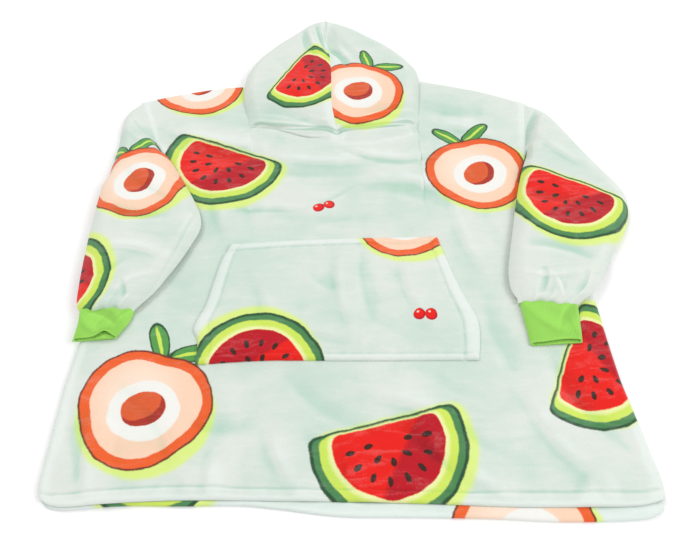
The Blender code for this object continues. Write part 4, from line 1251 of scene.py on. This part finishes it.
def melon(finish, colour, ink, x, y, turn, size):
    """A slice of melon: a round rind, its cut edge straight, with seeds in two arcs."""
    at = finish.local(ink, x, y, turn, size)
    across, up = finish.parts(at)
    cut = up - 0.30
    away = finish.disc(at, 0, 0, 0.0)
    halo_round = finish.disc(at, 0.08, -0.07, 1.02)
    colour = finish.halo(colour, finish.maths("SMOOTH_MAX", halo_round, cut - 0.02, 0.2))
    for ink_name, less_round, less_cut, soft in (
        ("outline", 0.0, 0.0, 0.012), ("rind", 0.045, 0.030, 0.012), ("lime", 0.130, 0.040, 0.012),
        ("pale", 0.235, 0.040, 0.03), ("flesh", 0.290, 0.060, 0.012),
    ):
        piece = finish.maths("SMOOTH_MAX", away - 1.0 + less_round, cut + less_cut, 0.16)
        colour = finish.print_on(colour, ink_name, piece, soft)
    shade = finish.inside(piece) * finish.range(across * 0.75 - up * 0.6, 0.16, 0.24)
    colour = finish.mix(shade, colour, INK["flesh_dark"])
    angle = finish.maths("ARCTAN2", across, 0 - up)
    for radius, spacing, start in ((0.50, 0.44, 0.22), (0.26, 0.80, 0.0)):
        turns = (angle + start) / spacing
        beside = (turns - finish.maths("ROUND", turns)) * (spacing * radius)
        beyond = away - radius
        seed = finish.maths("POWER", beside / 0.035, 2.0) + finish.maths("POWER", beyond / 0.062, 2.0)
        here = finish.inside(seed - 1.0, 0.25) * finish.range(cut, -0.22, -0.14, 1.0, 0.0)
        colour = finish.mix(here, colour, INK["seed"])
    return colour


def stone_fruit(finish, colour, ink, x, y, turn, size):
    """A halved stone fruit with its stone and two leaves."""
    at = finish.local(ink, x, y, turn, size)
    colour = finish.halo(colour, finish.oval(at, 0.08, -0.08, 0, 1.02, 0.96))
    for leaf_x, leaf_y, leaf_turn in ((0.34, 1.02, 0.45), (-0.22, 1.08, 2.2)):
        leaf = finish.oval(at, leaf_x, leaf_y, leaf_turn, 0.36, 0.15)
        colour = finish.print_on(colour, "outline", leaf, 0.05)
        colour = finish.print_on(colour, "leaf", leaf + 0.16, 0.05)
        colour = finish.print_on(colour, "lime", finish.oval(at, leaf_x, leaf_y, leaf_turn, 0.28, 0.028), 0.2)
    body = finish.maths("SMOOTH_MIN", finish.disc(at, -0.20, 0.10, 0.80), finish.disc(at, 0.20, 0.10, 0.80), 0.1)
    body = finish.maths("SMOOTH_MIN", body, finish.disc(at, 0, -0.10, 0.84), 0.15)
    colour = finish.print_on(colour, "brown", body)
    colour = finish.print_on(colour, "skin", body + 0.030)
    light = finish.range(finish.disc(at, -0.15, 0.15, 0.0), 0.25, 0.75)
    flesh = finish.mix(light, INK["peach_light"], INK["peach"])
    colour = finish.mix(finish.inside(body + 0.170), colour, flesh)
    colour = finish.print_on(colour, "white", finish.oval(at, 0.03, -0.04, 0.3, 0.53, 0.47), 0.04)
    stone = finish.inside(finish.oval(at, 0.02, -0.02, 0.5, 0.33, 0.27), 0.04)
    colour = finish.mix(stone, colour, INK["stone"])
    lit = finish.inside(finish.oval(at, -0.08, 0.05, 0.5, 0.33, 0.27), 0.04)
    return finish.mix(stone * (1.0 - lit), colour, INK["stone_dark"])


def berries(finish, colour, ink, x, y, turn, size):
    """Two red berries with a light spot each."""
    at = finish.local(ink, x, y, turn, size)
    for berry_x, berry_y in ((-0.45, 0.0), (0.50, 0.15)):
        for ink_name, left, up, radius, soft in (
            ("flesh_dark", 0.0, 0.0, 0.50, 0.04), ("flesh", 0.05, 0.05, 0.40, 0.05),
            ("peach_light", 0.16, 0.18, 0.09, 0.06),
        ):
            colour = finish.print_on(colour, ink_name, finish.disc(at, berry_x - left, berry_y + up, radius), soft)
    return colour


# What is printed on each piece. Columns: motif, x, y of its middle, turn in degrees, size
PRINT = {
    "front": (
        (melon, -0.235, 0.700, -24, 0.125), (stone_fruit, 0.285, 0.640, 14, 0.105), (melon, 0.060, 0.075, 12, 0.125),
        (stone_fruit, -0.330, 0.150, -18, 0.110), (melon, 0.400, 0.200, 64, 0.120), (berries, -0.030, 0.560, 10, 0.022),
        (stone_fruit, -0.300, 0.935, 30, 0.105),
    ),
    "back": (
        (stone_fruit, 0.250, -0.080, 8, 0.110), (melon, -0.300, 0.100, -20, 0.125), (melon, 0.100, 0.500, 30, 0.125),
        (stone_fruit, -0.150, 0.700, -15, 0.110), (stone_fruit, 0.300, 0.300, 20, 0.110),
    ),
    "pocket": (
        (melon, -0.150, 0.200, 160, 0.115), (stone_fruit, 0.120, 0.520, -20, 0.100),
        (berries, 0.140, 0.300, -15, 0.022),
    ),
    "sleeve_left": ((stone_fruit, -0.395, 0.625, 20, 0.098), (melon, -0.520, 0.400, 95, 0.105)),
    "sleeve_right": ((melon, 0.450, 0.560, -30, 0.118),),
    "hood_left": ((melon, -0.075, 0.930, 60, 0.105),),
    "hood_right": ((stone_fruit, 0.050, 0.870, -25, 0.098),),
}


def plush_finish(name, colours, motifs, inner=False):
    """Brushed plush with its print. The pile lies in soft patches, and blurs the edges of the print. Shade is painted
    into creases and wide folds, a highlight onto ridges, and sheen as light streaks.
    """
    finish = Finish(name, 0.86)
    base = tuple(colours.plush_inside if inner else colours.plush)
    wander = finish.noise(finish.plan, 26.0, 2.0)
    fuzz = finish.noise(finish.plan, 420.0, 1.0)
    ink = finish.vector("MULTIPLY_ADD", wander.outputs["Color"], (0.008, 0.008, 0.0), finish.plan)
    ink = finish.vector("MULTIPLY_ADD", fuzz.outputs["Color"], (0.0020, 0.0020, 0.0), ink)
    ink = finish.vector("SUBTRACT", ink, (0.005, 0.005, 0.0))
    streaks = finish.noise_value(finish.stretched(finish.place, 0.5, (7.0, 24.0, 12.0)), 1.0, 4.0, 0.6, 0.8)
    brushed = finish.noise_value(finish.stretched(finish.place, -0.35, (16.0, 50.0, 30.0)), 1.0, 3.0, 0.6, 1.4)
    patches = finish.noise_value(finish.place, 5.5, 3.0, 0.55, 0.4)
    fibres = finish.noise_value(finish.stretched(finish.place, 0.2, (1.0, 0.35, 1.0)), 520.0, 2.0, 0.7)
    hollow, sag = finish.depth("hollow"), finish.depth("sag")
    # Random patches and streaks of the pile, with a little painted shade in wide folds from the sag depth; this mix
    # sets the shade colour and the tone
    lie = streaks * 0.24 + brushed * 0.16 + patches * 0.60 - sag * 0.05
    colour = finish.mix(finish.range(lie, 0.34, 0.64), tuple(colours.plush_shade), base)
    # Painted highlight: ridges, where the crease depth is below 0, are mixed towards a pale mint
    colour = finish.mix(finish.range(0 - hollow, 0.10, 0.85) * 0.45, colour, (0.78, 0.83, 0.80))
    for motif, x, y, turn, size in motifs:
        colour = motif(finish, colour, ink, x, y, math.radians(turn), size)
    # Painted sheen: light streaks where the brushed pile catches the light, mixed towards near-white
    sheen_streaks_painted = finish.range(brushed * 0.7 + patches * 0.3 + fibres * 0.25, 0.60, 0.82) * 0.07
    colour = finish.mix(sheen_streaks_painted, colour, (0.86, 0.88, 0.86))
    # Painted shade: creases and wide folds are multiplied towards a deeper mint, from the crease and fold depths of the
    # mesh
    painted_crease_shade = finish.range(hollow, 0.05, 1.0) * 0.62 + finish.range(sag, 0.0, 1.0) * 0.22
    multiply = {"data_type": "RGBA", "blend_type": "MULTIPLY"}
    crease_shaded_colour = finish.node("ShaderNodeMix", multiply, {0: painted_crease_shade, 6: colour, 7: (0.68, 0.88, 0.79, 1.0)}).outputs[2]
    tone = 0.955 + lie * 0.05 + fibres * 0.05
    clumps = finish.noise_value(finish.stretched(finish.place, 0.5, (1.0, 2.2, 1.6)), 95.0, 3.0, 0.6, 0.5)
    height = fibres * 0.35 + clumps * 0.65 + patches * 1.2 + brushed * 0.8
    finish.close(finish.scaled(crease_shaded_colour, tone), height, 0.0016, 0.25, (0.90, 1.0, 0.95, 1.0), 0.15)
    return finish


def rib_finish(name, colours):
    """Fine rib knit: the ribs are in the mesh, the loops of the knit in the bump, and shade is painted into the valleys
    between ribs and into folds.
    """
    finish = Finish(name, 0.72)
    loops = finish.noise_value(finish.stretched(finish.place, 0.0, (1.0, 1.6, 1.0)), 700.0, 1.0, 0.5)
    patches = finish.noise_value(finish.place, 30.0, 2.0, 0.5)
    # Painted shade: darker where the knit lies deep between its ribs and in folds
    painted_rib_shade = finish.range(finish.depth("hollow"), -0.22, 0.22)
    tone = 0.98 + loops * 0.12 + patches * 0.08 - painted_rib_shade * 0.20
    finish.close(finish.scaled(tuple(colours.rib), tone), loops, 0.0005, 0.2, (0.8, 1.0, 0.6, 1.0), 0.2)
    return finish


# Properties, operators and panel


class HOODIE_PG_sizes(bpy.types.PropertyGroup):
    rib_pitch: FloatProperty(
        name="Rib Pitch", description="Distance from one rib of a cuff to the next", default=0.0024, min=0.0015,
        unit="LENGTH", subtype="DISTANCE",
    )
    camera_height: FloatProperty(
        name="Camera Height", description="Height of the camera over the surface", default=1.034, unit="LENGTH",
    )


def colour_property(name, description, default):
    return FloatVectorProperty(
        name=name, description=description, subtype="COLOR", size=3, min=0, max=1, default=default,
    )


class HOODIE_PG_colours(bpy.types.PropertyGroup):
    plush: colour_property("Plush", "Colour of the plush where its pile stands", (0.660, 0.702, 0.648))
    # The shade colour comes in where the pile's random patches lie down, and a little more in wide folds as painted
    # shade
    plush_shade: colour_property(
        "Plush Shade", "Colour of the plush where its pile is brushed down", (0.545, 0.661, 0.584)
    )
    plush_inside: colour_property("Plush Inside", "Colour of the plush's inner face", (0.666, 0.749, 0.708))
    rib: colour_property("Rib Knit", "Colour of the cuffs", (0.315, 0.657, 0.111))


class HOODIE_OT_back(bpy.types.Operator):
    """Makes the back panel, whose inner face shows below the front hem"""

    bl_idname = "hoodie.back"
    bl_label = "Back Panel"

    def execute(self, context):
        finish = plush_finish("back_plush", context.scene.hoodie_colours, PRINT["back"], True)
        obj = finished(make_back(), finish, "back_panel")
        finished(stitch_row("back_hem_stitches", hem_path(BACK_HEM, back_top, back_skin)), finish)
        return {"FINISHED"}


class HOODIE_OT_front(bpy.types.Operator):
    """Makes the front panel with its hem and neckline"""

    bl_idname = "hoodie.front"
    bl_label = "Front Panel"

    def execute(self, context):
        finish = plush_finish("front_plush", context.scene.hoodie_colours, PRINT["front"])
        obj = finished(make_front(), finish, "front_panel")
        finished(stitch_row("front_hem_stitches", hem_path(FRONT_HEM, front_top, front_skin)), finish)
        return {"FINISHED"}


class HOODIE_OT_pocket(bpy.types.Operator):
    """Makes the kangaroo pocket"""

    bl_idname = "hoodie.pocket"
    bl_label = "Pocket"

    def execute(self, context):
        finish = plush_finish("pocket_plush", context.scene.hoodie_colours, PRINT["pocket"])
        obj = finished(make_pocket(), finish, "pocket")
        finished(stitch_row("pocket_stitches", pocket_path()), finish)
        return {"FINISHED"}


class HOODIE_OT_sleeves(bpy.types.Operator):
    """Makes the two sleeves, gathered into their cuffs"""

    bl_idname = "hoodie.sleeves"
    bl_label = "Sleeves"

    def execute(self, context):
        for name, side, table in (("sleeve_left", -1, SLEEVE_LEFT), ("sleeve_right", 1, SLEEVE_RIGHT)):
            obj = make_tube(
                name + "_cloth", side, table, PLUSH, SLEEVE_ROUND, 240, 190, sleeve_detail(side), TUCKED,
                0.0008, 0.0055, joined=front_height, hang=sleeve_hang,
            )
            finished(obj, plush_finish(name + "_plush", context.scene.hoodie_colours, PRINT[name]), name)
        return {"FINISHED"}


class HOODIE_OT_cuffs(bpy.types.Operator):
    """Makes the two rib-knit cuffs"""

    bl_idname = "hoodie.cuffs"
    bl_label = "Cuffs"

    def execute(self, context):
        finish = rib_finish("rib_knit_cloth", context.scene.hoodie_colours)
        ribs = round(CUFF_WIDTH / context.scene.hoodie_sizes.rib_pitch)
        for name, side, table in (("cuff_left", -1, CUFF_LEFT), ("cuff_right", 1, CUFF_RIGHT)):
            obj = make_tube(
                name + "_cloth", side, table, RIB, CUFF_ROUND, ribs * COLUMNS_A_RIB, 44, cuff_detail(ribs),
                CUFF_TUCKED, 0.0005, 0.0011, mouth_of(name),
            )
            finished(obj, finish, name)
        return {"FINISHED"}


class HOODIE_OT_hood(bpy.types.Operator):
    """Makes the hood's two halves, joined at the centre seam"""

    bl_idname = "hoodie.hood"
    bl_label = "Hood"

    def execute(self, context):
        for name, side in (("hood_left", -1), ("hood_right", 1)):
            obj = make_hood(name + "_cloth", side)
            finished(obj, plush_finish(name + "_plush", context.scene.hoodie_colours, PRINT[name]), name)
        return {"FINISHED"}


class HOODIE_OT_stage(bpy.types.Operator):
    """Makes the floor, the lights and the camera"""

    bl_idname = "hoodie.stage"
    bl_label = "Studio"

    def execute(self, context):
        bpy.ops.object.select_all(action="DESELECT")
        bpy.ops.mesh.primitive_plane_add(size=PAPER_SIZE, location=(0, 0, -PAPER_DROP))
        floor = context.object
        floor.name = "floor"
        paper = bpy.data.materials.new("studio_paper")
        paper.use_nodes = True
        shader = paper.node_tree.nodes["Principled BSDF"]
        shader.inputs["Base Color"].default_value = PAPER
        shader.inputs["Roughness"].default_value = 0.9
        floor.data.materials.append(paper)
        for name, place, size, power in LIGHTS:
            light = bpy.data.lights.new(name, "AREA")
            light.shape = "DISK"
            light.size = size
            light.energy = power
            lamp = bpy.data.objects.new(name, light)
            context.scene.collection.objects.link(lamp)
            lamp.location = place
            run = -np.array(place) / np.linalg.norm(place)
            lamp.rotation_euler = (math.acos(-run[2]), 0, math.atan2(run[1], run[0]) - math.pi / 2)
        world = context.scene.world or bpy.data.worlds.new("studio")
        context.scene.world = world
        world.use_nodes = True
        world.node_tree.nodes["Background"].inputs[0].default_value = (1.0, 1.0, 1.0, 1)
        world.node_tree.nodes["Background"].inputs[1].default_value = WORLD_LIGHT
        context.scene.view_settings.view_transform = "Standard"
        lens = bpy.data.cameras.new("camera")
        lens.lens = CAMERA_LENS
        camera = bpy.data.objects.new("camera", lens)
        context.scene.collection.objects.link(camera)
        camera.location = (
            CAMERA_PLACE[0] + HEM_MIDDLE[0], CAMERA_PLACE[1] + HEM_MIDDLE[1],
            context.scene.hoodie_sizes.camera_height,
        )
        camera.rotation_euler = (math.pi / 2 - CAMERA_PITCH, 0, -CAMERA_HEADING)
        context.scene.camera = camera
        return {"FINISHED"}


class HOODIE_PT_pieces(bpy.types.Panel):
    """Lists the hoodie's pieces in the sidebar"""

    bl_label = "Hoodie"
    bl_idname = "HOODIE_PT_pieces"
    bl_space_type = "VIEW_3D"
    bl_region_type = "UI"
    bl_category = "Hoodie"

    def draw(self, context):
        for operator in OPERATORS:
            self.layout.operator(operator.bl_idname)
        for group in (context.scene.hoodie_sizes, context.scene.hoodie_colours):
            for name in group.__annotations__:
                self.layout.prop(group, name)


OPERATORS = (
    HOODIE_OT_stage, HOODIE_OT_back, HOODIE_OT_front, HOODIE_OT_pocket, HOODIE_OT_sleeves, HOODIE_OT_cuffs,
    HOODIE_OT_hood,
)
CLASSES = (HOODIE_PG_sizes, HOODIE_PG_colours, *OPERATORS, HOODIE_PT_pieces)


def register():
    for kind in CLASSES:
        bpy.utils.register_class(kind)
    bpy.types.Scene.hoodie_sizes = PointerProperty(type=HOODIE_PG_sizes)
    bpy.types.Scene.hoodie_colours = PointerProperty(type=HOODIE_PG_colours)


def unregister():
    del bpy.types.Scene.hoodie_colours
    del bpy.types.Scene.hoodie_sizes
    for kind in reversed(CLASSES):
        bpy.utils.unregister_class(kind)


def main():
    register()
    bpy.ops.hoodie.stage()
    bpy.ops.hoodie.back()
    bpy.ops.hoodie.front()
    bpy.ops.hoodie.pocket()
    bpy.ops.hoodie.sleeves()
    bpy.ops.hoodie.cuffs()
    bpy.ops.hoodie.hood()


if __name__ == "__main__":
    main()
